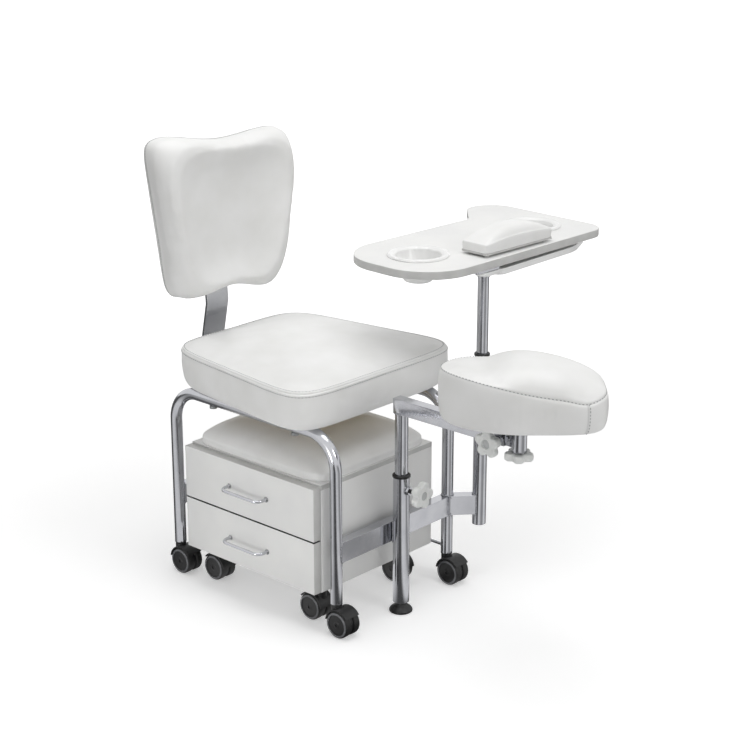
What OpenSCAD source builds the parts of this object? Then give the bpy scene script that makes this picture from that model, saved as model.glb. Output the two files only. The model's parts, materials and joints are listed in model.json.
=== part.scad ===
// Pedicure spa chair: a cushioned chair on a chromed tube frame, with a swinging
// foot rest in front, a swivelling side table, and a low drawer cart parked under the seat.
// Millimetres, +Z up from the floor. The chair faces -Y and the table stands on its +X side.
// The origin is the middle of the whole object's footprint, on the floor.

/* [Side frames] */
// Outer diameter of the side frames' tubes
frame_tube_d = 22; // [20:0.5:26]
// Wall of the side frames' tubes
frame_tube_wall = 1.5; // [1:0.25:2]
// Distance between the two side frames, centre to centre
frame_w = 302; // [296:1:310]
// Distance between the front and back legs, centre to centre
frame_l = 411; // [405:1:450]
// Height of the top of the side frames above the floor
frame_h = 378; // [370:1:400]
// Bend radius at the frames' top corners, to the tube's centre
frame_bend_r = 60; // [45:1:80]
// Height of the crossbars' section
crossbar_h = 38; // [25:1:45]
// Thickness of the crossbars' section
crossbar_t = 20; // [15:1:22]
// Wall of the crossbars' section
crossbar_wall = 1.5; // [1:0.25:2.5]
// Height of the crossbars' middle above the floor
crossbar_z = 155; // [140:1:180]
// Diameter of the low stretcher rod between the far legs
stretcher_d = 6; // [5:0.5:10]
// Height of the stretcher rod above the floor
stretcher_z = 70; // [66:1:90]

/* [Seat] */
// Seat cushion width half way along its sides
seat_w = 380; // [376:1:400]
// Seat cushion depth from front to back
seat_d = 393; // [380:1:410]
// How much narrower the seat is at its back than at its front
seat_taper = 110; // [60:1:120]
// Squareness of the seat's corners in plan, where 2 is an ellipse
seat_corner = 6.6; // [5:0.1:9]
// How far the middle of the seat sits behind the middle of the legs
seat_back_by = 11; // [0:1:15]
// Thickness of the plywood board under the seat cushion
seat_board_t = 10; // [8:1:16]
// How far the seat board stays inside the cushion's edge
seat_board_inset = 14; // [8:1:30]
// Height of the seat cushion's side band up to its top seam
seat_band_h = 61; // [45:1:75]
// Height of the seat cushion's crown above the top seam
seat_crown_h = 20; // [10:1:40]
// Distance of the seat bolts in front of and behind their middle
seat_bolt_y = 105; // [80:1:115]
// How far the middle of the seat bolts lies in front of the middle of the legs
seat_bolt_forward = 3; // [0:1:10]

/* [Back rest] */
// Widest half width of the back cushion, across its middle
back_half_w = 157; // [130:1:170]
// How much wider the back cushion is at its top than at its middle, each side
back_flare = 22.4; // [0:0.1:30]
// Height of the back cushion
back_h = 289; // [260:1:330]
// Height of the back cushion's lower edge above the floor
back_z = 528; // [510:1:560]
// Rise of the two upper corners above the middle of the top edge
back_ear_h = 11.8; // [0:0.1:20]
// Drop of the two lower corners below the middle of the bottom edge
back_heel_h = 15.2; // [0:0.1:20]
// Squareness of the back cushion's corners at its rear face, where 2 is an ellipse
back_corner_rear = 10.2; // [5:0.1:12]
// Squareness of the back cushion's corners at its front face
back_corner_front = 4; // [3:0.1:6]
// How far the cushion is turned on its strut in its own plane, in degrees
back_askew = 3.4; // [0:0.1:5]
// Thickness of the back cushion at its rolled edge
back_t = 60; // [50:1:80]
// Depth of the hollow in the front of the back cushion
back_dish = 20; // [5:1:30]
// Lean of the back rest from the vertical, in degrees
back_lean = 4; // [0:0.5:12]
// Thickness of the board behind the back cushion
back_board_t = 10; // [8:1:14]
// Width of the flat steel strut that carries the back rest
strut_w = 55; // [40:1:70]
// Thickness of the flat steel strut
strut_t = 5; // [4:0.5:8]
// Distance from the middle of the legs back to the strut's crease
strut_y = 246; // [235:1:260]
// Height of the strut's crease above the floor
strut_crease_z = 494; // [480:1:500]
// Forward lean of the strut below its crease, in degrees
strut_lean = 10; // [5:0.5:15]
// How far the strut runs forward under the seat board from the strut's foot
strut_run = 190; // [150:1:210]
// How far the strut reaches up behind the back board
strut_rise = 198; // [150:1:240]

/* [Foot rest] */
// Outer diameter of the foot rest's upright socket
socket_d = 30; // [29:0.5:34]
// Wall of the foot rest's socket
socket_wall = 1.5; // [1:0.25:1.75]
// Height of the socket's lower end above the floor
socket_low_z = 20; // [18:1:30]
// Height of the socket's upper end above the floor
socket_top_z = 263; // [240:1:290]
// How far the socket sits to the near side of the seat's middle line
socket_offset = 7; // [0:1:20]
// Diameter of the sliding post in the socket
post_d = 24; // [22:0.5:24.5]
// Wall of the post and of the arm's tubes
post_wall = 1.5; // [1:0.25:2]
// Height of the arm's top above the floor
arm_top_z = 411; // [395:1:430]
// Height of the arm's section
arm_h = 28; // [24:1:32]
// Width of the arm's section
arm_w = 20; // [18:1:24]
// How far the arm's tube reaches in front of the post's axis
arm_l = 237; // [220:1:260]
// Gap between the arm's tube and its slider, each side
slider_gap = 0.4; // [0.3:0.05:0.6]
// Distance of the cushion's pivot in front of the arm's tube
pivot_out = 25; // [24:1:60]
// Outer diameter of the pivot sleeve at the slider's end
sleeve_d = 26; // [25:0.5:30]
// Diameter of the cushion's spindle in the pivot sleeve
spindle_d = 20; // [16:0.5:21]
// Height of the foot cushion's flat underside above the floor
foot_pad_z = 436; // [425:1:450]
// Length of the foot cushion, from end to end
foot_pad_l = 276; // [240:1:310]
// Width of the foot cushion
foot_pad_w = 184; // [150:1:210]
// Turn of the foot cushion's long axis from the chair's crossways axis, in degrees
foot_pad_turn = -47.7; // [-90:0.1:90]
// Height of the foot cushion's side band at its middle
foot_band_h = 72; // [60:1:90]
// Height of the foot cushion's dome above its seam, before the cross valley is taken off
foot_crown_h = 38; // [28:1:45]
// Depth of the cross valley in the foot cushion's top
foot_valley = 24; // [10:1:28]
// Diameter of the levelling foot's base
level_foot_d = 43; // [36:1:50]

/* [Side table] */
// Outer diameter of the table's upright socket
table_socket_d = 26; // [25.5:0.5:30]
// Wall of the table's socket
table_socket_wall = 1.25; // [1:0.05:1.4]
// Height of the table socket's lower end above the floor
table_socket_low_z = 118; // [95:1:125]
// Height of the table socket's upper end above the floor
table_socket_top_z = 446; // [430:1:460]
// Distance of the table's pole outwards from the far front leg
pole_out = 44; // [40:1:60]
// Distance of the table's pole in front of the far front leg
pole_front = 41.5; // [38:0.5:60]
// Diameter of the table's pole
pole_d = 21; // [18:0.5:21.5]
// Height of the underside of the table top above the floor
table_z = 610; // [590:1:640]
// Thickness of the table top
table_t = 16; // [12:1:22]
// Length of the table top
table_l = 513; // [500:1:560]
// Width of the table top's main part
table_w = 248; // [235:1:280]
// How far the table top overhangs the pole on its rounded end
table_over = 159; // [150:1:180]
// How far the table top's near edge is from the pole's axis
table_edge = 18; // [16:1:30]
// How far the table's near edge runs in towards its wide end
table_skew = 14; // [0:1:20]
// Extra depth of the lobe at the table's wide end
lobe_d = 65; // [30:1:90]
// Length of the lobe along the table's far edge
lobe_l = 73; // [73:1:110]
// Turn of the table about its pole, in degrees
table_turn = -2.4; // [-20:0.1:20]
// Diameter of the cups' rims
cup_rim_d = 115; // [105:1:120]
// Diameter of the cups just under their rims
cup_d = 86; // [76:1:92]
// Diameter of the cups' floors
cup_floor_d = 54; // [40:1:60]
// Depth of the cups below the table's top face
cup_depth = 48; // [40:1:52]
// Wall of the cups
cup_wall = 2; // [1.5:0.25:3]
// Distance between the two cups
cup_pitch = 317; // [300:1:330]
// Length of the wrist rest
wrist_l = 188; // [170:1:205]
// Width of the wrist rest
wrist_w = 64; // [50:1:66]
// Height of the wrist rest's ends
wrist_end_h = 20; // [16:1:28]
// Height of the arch in the wrist rest's top
wrist_arch = 16; // [5:1:25]
// Length of the swing-out tray from the pole's axis
tray_l = 338; // [250:1:345]
// Gap between the swing-out tray and the cups beside it
tray_cup_gap = 5; // [3:1:20]
// Height of the swing-out tray
tray_h = 11; // [10:1:18]
// Wall of the swing-out tray
tray_wall = 2.5; // [2:0.25:3.5]

/* [Drawer cart] */
// Depth of the cart's cabinet without its drawer fronts
cart_d = 297; // [280:1:299]
// Height of the cabinet's lower edge above the floor
cart_z = 76; // [70:1:90]
// Height of the cabinet
cart_h = 204; // [190:1:206]
// Gap between the cabinet and the front legs
cart_front_gap = 10; // [6:1:20]
// Gap between the cabinet and the back legs
cart_rear_gap = 49; // [45:1:70]
// Gap between the cabinet's back and the far legs
cart_back_gap = 10; // [6:1:20]
// Thickness of the cabinet's side and bottom panels
panel_t = 16; // [12:1:18]
// Thickness of the cabinet's top panel
top_panel_t = 9; // [8:1:16]
// Thickness of the cabinet's back panel
back_panel_t = 8; // [4:1:12]
// Thickness of the drawer fronts
front_t = 18; // [15:1:20]
// Gap between the drawer fronts
front_gap = 2.5; // [2:0.25:4]
// Height of the drawer boxes
drawer_h = 66; // [50:1:70]
// Wall of the drawer boxes
drawer_wall = 12; // [9:1:15]
// Thickness of the drawer boxes' floors
drawer_floor = 6; // [4:1:8]
// Length of the drawer boxes
drawer_length = 270; // [240:1:275]
// Width taken by a drawer runner on each side
runner_gap = 13; // [11:1:15]
// Height of the drawer runners
runner_h = 26; // [20:1:32]
// Distance between the two feet of a drawer handle
handle_pitch = 96; // [64:1:128]
// Diameter of the drawer handles' bar
handle_d = 6; // [5:0.5:9]
// How far the drawer handles stand out
handle_out = 26; // [22:1:32]
// Height of the cart cushion's side band
cart_band_h = 14; // [10:1:22]
// Height of the cart cushion's dome above its band
cart_crown_h = 42; // [30:1:44]

/* [Casters] */
// Diameter of the caster wheels
wheel_d = 50; // [44:1:52]
// Width of one caster wheel
wheel_w = 15.5; // [12:0.5:16]
// Space between the two wheels of a caster
wheel_gap = 7; // [6:0.5:8]
// Height from the floor to the lower ends of the legs
leg_low_z = 58; // [57:1:62]
// Offset of the chair casters' wheels from their swivel axis
trail = 16; // [14:0.5:17]
// Diameter of the caster axles
axle_d = 6; // [5:0.5:8]
// Diameter of the caster stems
stem_d = 10; // [8:0.5:11]
// Distance of the cart's casters from the cabinet's edges
caster_inset = 38; // [36:1:44]
// Width of the plates that hold the cart's casters
caster_plate_w = 38; // [30:1:44]

/* [Clamping knobs] */
// Overall diameter of the star knobs
knob_d = 50; // [44:1:54]
// Thickness of the star knobs
knob_t = 14; // [11:1:18]
// Number of lobes on a star knob
knob_lobes = 5; // [4:1:7]
// Depth of the hollows between a star knob's lobes
knob_lobe_depth = 10; // [6:0.5:12]
// Diameter of the cap in the middle of a star knob
knob_cap_d = 17; // [12:1:20]
// Diameter of the knobs' screws
knob_screw_d = 8; // [6:1:8]

/* [Hidden] */
$fn = 64;

// Where the middle of the footprint lies from the middle of the four legs
footprint_mid = [173.6, -178.63];
// Radial clearance of a shaft that turns or slides in its bore
running_fit = 0.05;
// Clearance between parts that only pass each other
pass_gap = 0.5;

// Side frames
leg_x = frame_w / 2;
leg_y = frame_l / 2;
frame_tube_r = frame_tube_d / 2;
leg_bore_r = frame_tube_r - frame_tube_wall;
frame_top_z = frame_h - frame_tube_r;
frame_bend_z = frame_top_z - frame_bend_r;
bolt_r = 4;
bolt_head_r = 7;
bolt_head_h = 5;
bolt_into_board = 7;

// Seat
seat_y = seat_back_by;
seat_top_of_board = frame_h + seat_board_t;

// Back rest
lean_slope = tan(back_lean);
strut_foot_y = strut_y + (strut_crease_z - frame_h) * tan(strut_lean);
strut_bend_r = 14;
back_mid_z = back_z + back_h / 2;
back_screw_r = 3;

// Foot rest
socket_r = socket_d / 2;
socket_bore_r = socket_r - socket_wall;
socket_x = -socket_offset;
socket_y = -leg_y - crossbar_t / 2 - socket_r;
post_r = post_d / 2;
bush_collar_h = 5;
bush_collar_out = 1.5;
bush_sleeve_h = 12;
post_low_z = 120;
arm_low_z = arm_top_z - arm_h;
arm_front_y = socket_y - arm_l;
pivot_y = arm_front_y - pivot_out;
slider_h = arm_h - 2 * (post_wall + slider_gap);
slider_w = arm_w - 2 * (post_wall + slider_gap);
slider_inside = 140;
sleeve_low_z = arm_low_z - 5;
spindle_plate_t = 4;
sleeve_top_z = foot_pad_z - spindle_plate_t - pass_gap;
foot_plug_h = 14;
foot_stem_d = 10;
foot_stem_top_z = socket_low_z + foot_plug_h + 8;

// Side table
table_socket_r = table_socket_d / 2;
table_socket_bore_r = table_socket_r - table_socket_wall;
pole_x = leg_x + pole_out;
pole_y = -leg_y - pole_front;
pole_r = pole_d / 2;
pole_low_z = 215;
table_bush_sleeve_h = 15;
table_top_z = table_z + table_t;
table_mid_v = table_w / 2 - table_edge;
pole_plate_t = 4;
cup_hole_r = cup_d / 2 + 1.5;
cup_rim_h = 5;
cup_u_near = (table_l - 2 * table_over - cup_pitch) / 2 + 2;
cup_u_far = cup_u_near + cup_pitch;
wrist_mid_u = 6 + wrist_l / 2;
wrist_mid_v = wrist_w / 2 - 1;
wrist_foot_h = 4;
wrist_board_t = 4;
tray_top_z = table_z - pole_plate_t - 1;
tray_low_z = tray_top_z - tray_h;
tray_boss_r = pole_r + 4.5;
tray_boss_z = tray_top_z - 7;
tray_ring_h = 2;
tray_far_v = table_mid_v - cup_d / 2 - tray_cup_gap;

// Drawer cart
cart_w = frame_l - frame_tube_d - cart_front_gap - cart_rear_gap;
cabinet_x = leg_x - frame_tube_r - cart_back_gap - cart_d / 2;
cabinet_front_x = cabinet_x - cart_d / 2;
cabinet_y = -leg_y + frame_tube_r + cart_front_gap + cart_w / 2;
cabinet_top_z = cart_z + cart_h;
drawer_front_h = (cart_h - front_gap - 4) / 2;
drawer_bay_h = (cart_h - panel_t - top_panel_t) / 2;
drawer_w = cart_w - 2 * panel_t - 2 * runner_gap;
handle_bend_r = 9;

// Casters
wheel_r = wheel_d / 2;
caster_half_w = wheel_gap / 2 + wheel_w;
fork_web_t = wheel_gap - 1;
fork_boss_r = 10;
hood_gap = 1;
hood_wall = 2.5;
sleeve_plug_h = 34;
sleeve_rim_h = 2;
plate_t = 3;
plate_bush_h = 12;

// Clamping knobs
knob_nut_h = 8;
knob_nut_r = 7.5;
knob_grip_gap = 18;

vinyl = "whitesmoke";
chrome = "silver";
steel = "gainsboro";
laminate = "white";
black = "dimgray";
board = "burlywood";
nylon = "ghostwhite";

// ---------- helpers ----------

// Polar radius of a superellipse with half sizes a and b
function round_reach(t, a, b, n) =
    1 / pow(pow(abs(cos(t)) / a, n) + pow(abs(sin(t)) / b, n), 1 / n);

function round_plan(t, a, b, n) = round_reach(t, a, b, n) * [cos(t), sin(t)];

function smooth(lo, hi, x) =
    let (k = min(1, max(0, (x - lo) / (hi - lo)))) k * k * (3 - 2 * k);

// Arc that rounds the corner b of the path a-b-c, where b is [x, y, radius]
function corner_arc(a, b, c, steps = 12) =
    let (
        to_a = [a.x - b.x, a.y - b.y], to_c = [c.x - b.x, c.y - b.y],
        da = to_a / norm(to_a), dc = to_c / norm(to_c),
        half = acos(da * dc) / 2,
        mid = (da + dc) / norm(da + dc),
        centre = [b.x, b.y] + mid * b.z / sin(half),
        cross = da.x * dc.y - da.y * dc.x,
        sweep = (180 - 2 * half) * (cross < 0 ? 1 : -1),
        from = [b.x, b.y] + da * b.z / tan(half) - centre
    )
    b.z == 0 ? [[b.x, b.y]] : [
        for (k = [0 : steps])
            let (g = sweep * k / steps)
                centre + [from.x * cos(g) - from.y * sin(g), from.x * sin(g) + from.y * cos(g)]
    ];

function rounded(corners) = [
    for (k = [0 : len(corners) - 1])
        each corner_arc(
            corners[(k + len(corners) - 1) % len(corners)], corners[k],
            corners[(k + 1) % len(corners)]
        )
];

// Closed cushion of triangles. spots is one list of points for each ring, from the flat
// base up to the crown, and low and high are the points that close its two ends.
module cushion(spots, low, high) {
    rings = len(spots);
    steps = len(spots[0]);
    points = concat([for (ring = spots) each ring], [low, high]);
    low_i = rings * steps;
    sides = [
        for (i = [0 : rings - 2], j = [0 : steps - 1])
            let (a = i * steps + j, b = i * steps + (j + 1) % steps)
                each [[a, a + steps, b + steps], [a, b + steps, b]]
    ];
    ends = [
        for (j = [0 : steps - 1])
            let (k = (j + 1) % steps, top = (rings - 1) * steps)
                each [[low_i, j, k], [low_i + 1, top + k, top + j]]
    ];
    polyhedron(points, concat(sides, ends));
}

module tube(r, wall, h) {
    difference() {
        cylinder(r = r, h = h);
        translate([0, 0, -1]) cylinder(r = r - wall, h = h + 2);
    }
}

module hexagon_nut(r, h) cylinder(r = r, h = h, $fn = 6);

// Turns a shape that grows along +Z so that it grows along -Y, +X or -X
module along_front() rotate([90, 0, 0]) children();
module along_near() rotate([0, -90, 0]) children();

module place() translate([-footprint_mid.x, -footprint_mid.y, 0]) children();

module at_table() translate([pole_x, pole_y, 0]) rotate(table_turn) children();

// ---------- side frames ----------

// One inverted U of round section in the plane x = 0, open at both feet
module frame_path(r, extra = 0) {
    for (side = [0, 1]) mirror([0, side, 0]) {
        translate([0, leg_y, leg_low_z - extra]) cylinder(r = r, h = frame_bend_z - leg_low_z + extra);
        translate([0, leg_y - frame_bend_r, frame_bend_z]) rotate([90, 0, 90])
            rotate_extrude(angle = 90) translate([frame_bend_r, 0]) circle(r);
    }
    translate([0, -leg_y + frame_bend_r, frame_top_z]) rotate([-90, 0, 0])
        cylinder(r = r, h = 2 * (leg_y - frame_bend_r));
}

module side_frame(x) {
    place() color(chrome) difference() {
        translate([x, 0, 0]) frame_path(frame_tube_r);
        translate([x, 0, 0]) frame_path(leg_bore_r, 1);
        for (y = seat_bolt_rows) translate([x, y, frame_top_z - frame_tube_d])
            cylinder(r = bolt_r + running_fit, h = 2 * frame_tube_d);
    }
}

module side_frame_near() side_frame(-leg_x);
module side_frame_far() side_frame(leg_x);

// Rectangular tube along +X, centred on the other two axes
module box_tube(l, w, h, wall) {
    difference() {
        translate([0, -w / 2, -h / 2]) cube([l, w, h]);
        translate([-1, -w / 2 + wall, -h / 2 + wall]) cube([l + 2, w - 2 * wall, h - 2 * wall]);
    }
}

module leg_clear(x, y) translate([x, y, 0]) cylinder(r = frame_tube_r, h = frame_h);

module crossbar(y) {
    difference() {
        translate([-leg_x, y, crossbar_z]) box_tube(frame_w, crossbar_t, crossbar_h, crossbar_wall);
        leg_clear(-leg_x, y);
        leg_clear(leg_x, y);
    }
}

// Short outrigger that carries the table's socket
module outrigger() {
    run = norm([pole_out, pole_front]);
    difference() {
        translate([leg_x, -leg_y, crossbar_z]) rotate(-atan2(pole_front, pole_out))
            box_tube(run, crossbar_t, crossbar_h, crossbar_wall);
        leg_clear(leg_x, -leg_y);
        translate([pole_x, pole_y, 0]) cylinder(r = table_socket_r, h = frame_h);
    }
}

module front_crossbar() {
    place() color(chrome) {
        crossbar(-leg_y);
        outrigger();
    }
}

module rear_crossbar() {
    place() color(chrome) crossbar(leg_y);
}

module far_stretcher() {
    place() color(chrome) difference() {
        translate([leg_x, -leg_y, stretcher_z]) rotate([-90, 0, 0]) cylinder(d = stretcher_d, h = frame_l);
        leg_clear(leg_x, -leg_y);
        leg_clear(leg_x, leg_y);
    }
}

// Plastic plugs in the legs' ends that hold the caster stems
module caster_sleeves() {
    place() color(black) for (x = [-leg_x, leg_x], y = [-leg_y, leg_y]) translate([x, y, leg_low_z])
        difference() {
            union() {
                cylinder(r = leg_bore_r, h = sleeve_plug_h);
                translate([0, 0, -sleeve_rim_h]) cylinder(r = frame_tube_r, h = sleeve_rim_h);
            }
            translate([0, 0, -sleeve_rim_h - 1])
                cylinder(r = stem_d / 2 + running_fit, h = sleeve_plug_h + sleeve_rim_h + 2);
        }
}

// ---------- seat ----------

// Point of the seat's outline at angle t, narrower towards the back
function seat_edge(t, grow, shrink = 1) =
    let (p = round_plan(t, seat_w / 2 + grow, seat_d / 2 + grow, seat_corner) * shrink)
        [p.x * (1 - seat_taper * p.y / (seat_w * seat_d)), p.y + seat_y];

seat_rings = [
    // scale towards the middle, growth of the outline, height as a share of band and of crown
    [1, -4, 0, 0], [1, 0.3, 0.09, 0], [1, 1.8, 0.3, 0], [1, 2, 0.6, 0], [1, 0.8, 0.88, 0],
    [1, -2.1, 1, 0], [1, -4.6, 1, 0.16], [0.92, -4.6, 1, 0.42], [0.8, -4.6, 1, 0.62],
    [0.62, -4.6, 1, 0.8], [0.42, -4.6, 1, 0.92], [0.2, -4.6, 1, 0.985]
];

module seat_board() {
    place() color(board) difference() {
        translate([0, 0, frame_h]) linear_extrude(seat_board_t)
            polygon([for (k = [0 : 47]) seat_edge(k * 7.5, -seat_board_inset)]);
        for (x = [-leg_x, leg_x], y = seat_bolt_rows) translate([x, y, frame_h - 1])
            cylinder(r = bolt_r, h = bolt_into_board + 1);
        for (y = strut_bolt_rows) translate([0, y, frame_h - 1])
            cylinder(r = bolt_r, h = bolt_into_board + 1);
    }
}

module seat_cushion() {
    height = function (ring) seat_top_of_board + ring[2] * seat_band_h + ring[3] * seat_crown_h;
    place() color(vinyl) cushion(
        [for (ring = seat_rings) [
            for (k = [0 : 55])
                let (p = seat_edge(k * 360 / 56, ring[1], ring[0])) [p.x, p.y, height(ring)]
        ]],
        [0, seat_y, seat_top_of_board], [0, seat_y, seat_top_of_board + seat_band_h + seat_crown_h]
    );
}

// Bolt along +Z from its head at z = 0
module bolt(shank) {
    translate([0, 0, -bolt_head_h]) difference() {
        cylinder(r = bolt_head_r, h = bolt_head_h);
        translate([0, 0, -1]) hexagon_nut(3, 3.5);
    }
    cylinder(r = bolt_r, h = shank);
}

module seat_bolts() {
    place() color(steel) {
        for (x = [-leg_x, leg_x], y = seat_bolt_rows)
            translate([x, y, frame_top_z - frame_tube_r]) bolt(frame_tube_d + bolt_into_board);
        for (y = strut_bolt_rows) translate([0, y, frame_h - strut_t]) bolt(strut_t + bolt_into_board);
    }
}

// ---------- back rest ----------

seat_bolt_rows = [-seat_bolt_forward - seat_bolt_y, -seat_bolt_forward + seat_bolt_y];
strut_bolt_rows = [strut_foot_y - strut_run + 20, strut_foot_y - strut_run + 70];
strut_head_z = back_z + strut_rise;
back_screw_z = [back_z + 60, back_z + strut_rise - 30];

function strut_front(z) = strut_y + (z - strut_crease_z) * lean_slope;

// Strip of steel of thickness t behind and under a bent line, mitred at each bend
function strip(line, t) =
    let (
        last = len(line) - 1,
        unit = function (v) v / norm(v),
        side = function (k)
            let (
                before = unit(line[max(k, 1)] - line[max(k - 1, 0)]),
                after = unit(line[min(k + 1, last)] - line[min(k, last - 1)]),
                d = unit(before + after)
            ) line[k] + t / (d * after) * [d.y, -d.x]
    )
    concat(line, [for (k = [last : -1 : 0]) side(k)]);

module back_strut() {
    bend = [
        for (k = [0 : 6])
            let (
                g = k * (90 + strut_lean) / 6,
                centre = [strut_foot_y - strut_bend_r, frame_h + strut_bend_r]
            ) centre + strut_bend_r * [sin(g), -cos(g)]
    ];
    line = concat(
        [[strut_foot_y - strut_run, frame_h]], bend,
        [[strut_y, strut_crease_z], [strut_front(strut_head_z), strut_head_z]]
    );
    place() color(chrome) difference() {
        translate([-strut_w / 2, 0, 0]) rotate([90, 0, 90])
            linear_extrude(strut_w) polygon(strip(line, strut_t));
        for (y = strut_bolt_rows) translate([0, y, frame_h - 2 * strut_t])
            cylinder(r = bolt_r + running_fit, h = 4 * strut_t);
        back_screw_places() translate([0, 0, -back_board_t])
            cylinder(r = back_screw_r + running_fit, h = 4 * back_board_t);
    }
}

// Puts its children at each back screw, with +Z square to the board and pointing backwards
module back_screw_places() {
    for (x = [-1, 1], z = back_screw_z)
        translate([x * strut_w / 4, strut_front(z), z]) rotate([-90 - back_lean, 0, 0]) children();
}

// Point of the back cushion's outline in the plane of the board, from its middle
function back_edge(t, grow, shrink = 1, corner = back_corner_rear) =
    let (
        p = round_plan(t, 1, 1, corner),
        wide = back_half_w + back_flare * p.y + grow,
        tall = back_h / 2 + grow,
        arch = smooth(0, 0.8, abs(p.x)) - 0.5,
        rise = arch * (back_ear_h * smooth(0, 1, p.y) - back_heel_h * smooth(0, 1, -p.y)),
        q = shrink * [p.x * wide, p.y * tall + rise]
    ) [
        q.x * cos(back_askew) + q.y * sin(back_askew),
        q.y * cos(back_askew) - q.x * sin(back_askew)
    ];

// Squareness of the corners at a distance in front of the board
function back_corner(ring) =
    ring[0] < 1 ? back_corner_front
    : back_corner_rear + (back_corner_front - back_corner_rear) * smooth(0, back_t, ring[2]);

// Carries a point of the board's plane to its place, out towards the sitter
function back_point(p, out) =
    let (z = back_mid_z + p.y) [p.x, strut_front(z) - back_board_t - out, z];

back_rings = [
    // scale towards the middle, growth of the outline, distance in front of the board
    [1, -7, 0], [1, -1.5, 3], [1, -0.7, 12], [1, 2, back_t * 0.5], [1, 0.1, back_t * 0.75],
    [1, -5, back_t * 0.93], [1, -12, back_t], [0.93, -12, back_t - back_dish * 0.03],
    [0.82, -12, back_t - back_dish * 0.28], [0.68, -12, back_t - back_dish * 0.64],
    [0.51, -12, back_t - back_dish * 0.88], [0.27, -12, back_t - back_dish]
];

module back_board() {
    outline = [for (k = [0 : 47]) back_edge(k * 7.5, -16)];
    place() color(board) difference() {
        translate([0, strut_front(back_mid_z), back_mid_z]) rotate([90 - back_lean, 0, 0])
            linear_extrude(back_board_t) polygon(outline);
        back_screw_places() translate([0, 0, -back_board_t + 2]) cylinder(r = back_screw_r, h = back_board_t);
    }
}

module back_cushion() {
    place() color(vinyl) cushion(
        [for (ring = back_rings) [
            for (k = [0 : 55])
                let (p = back_edge(k * 360 / 56, ring[1], ring[0], back_corner(ring)))
                    back_point(p, ring[2] + pass_gap / 5)
        ]],
        back_point([0, 0], pass_gap / 5), back_point([0, 0], back_t - back_dish)
    );
}

module back_screws() {
    place() color(steel) back_screw_places() {
        translate([0, 0, -back_board_t + 2]) cylinder(r = back_screw_r, h = back_board_t - 2 + strut_t);
        translate([0, 0, strut_t]) cylinder(r1 = 6, r2 = 4.5, h = 3);
    }
}

// ---------- clamping knobs ----------

// Star knob on +Z. Its screw's tip is at z = 0 and its grip starts at z = screw_l.
module star_knob(screw_l) {
    edge = function (t)
        (knob_d / 2 - knob_lobe_depth * pow((1 - cos(knob_lobes * t)) / 2, 1.4)) * [cos(t), sin(t)];
    color(nylon) translate([0, 0, screw_l]) {
        linear_extrude(knob_t) polygon([for (k = [0 : 99]) edge(k * 3.6)]);
        translate([0, 0, knob_t - 1]) cylinder(d1 = knob_cap_d + 2, d2 = knob_cap_d, h = 3);
    }
    color(steel) cylinder(d = knob_screw_d, h = screw_l + 3);
}

// Welded nut on +Z from z = 0, with the knob screw's bore
module knob_nut() {
    difference() {
        hexagon_nut(knob_nut_r, knob_nut_h);
        translate([0, 0, -1]) cylinder(r = knob_screw_d / 2 + running_fit, h = knob_nut_h + 2);
    }
}

module knob_bore(l) cylinder(r = knob_screw_d / 2 + running_fit, h = l);

// ---------- foot rest ----------

height_knob_z = socket_top_z - 23;
reach_knob_y = arm_front_y + 14;
arm_mid_z = arm_top_z - arm_h / 2;
reach_knob_z = arm_mid_z - 5;

module footrest_socket() {
    place() color(chrome) translate([socket_x, socket_y, 0]) {
        difference() {
            translate([0, 0, socket_low_z]) tube(socket_r, socket_wall, socket_top_z - socket_low_z);
            translate([0, 0, height_knob_z]) along_front() knob_bore(2 * socket_r);
        }
        difference() {
            translate([0, 0, height_knob_z]) along_front() translate([0, 0, socket_r - 2]) knob_nut();
            translate([0, 0, height_knob_z - 20]) cylinder(r = socket_r, h = 40);
        }
        difference() {
            translate([0, 0, socket_low_z]) cylinder(r = socket_bore_r, h = foot_plug_h);
            translate([0, 0, socket_low_z - 1])
                cylinder(r = foot_stem_d / 2 + running_fit, h = foot_plug_h + 2);
        }
    }
}

module levelling_foot() {
    bell = level_foot_d / 2;
    place() color(black) translate([socket_x, socket_y, 0]) {
        rotate_extrude() polygon([
            [0, 0], [bell - 1.5, 0], [bell, 1.5], [bell, 4], [bell - 2, 7], [bell * 0.66, 11],
            [bell * 0.52, 14], [bell * 0.48, socket_low_z - 1], [0, socket_low_z - 1]
        ]);
        cylinder(d = foot_stem_d, h = foot_stem_top_z);
    }
}

// Collar with a thin sleeve that lines the top of a socket
module bush(socket_top, collar_r, sleeve_r, bore_r, sleeve_h) {
    difference() {
        union() {
            translate([0, 0, socket_top + 0.1]) cylinder(r = collar_r, h = bush_collar_h);
            translate([0, 0, socket_top - sleeve_h]) cylinder(r = sleeve_r, h = sleeve_h + 1);
        }
        translate([0, 0, socket_top - sleeve_h - 1]) cylinder(r = bore_r, h = sleeve_h + bush_collar_h + 3);
    }
}

module footrest_bush() {
    place() color(black) translate([socket_x, socket_y, 0]) bush(
        socket_top_z, socket_r + bush_collar_out, socket_bore_r - running_fit,
        post_r + running_fit, bush_sleeve_h
    );
}

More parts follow.
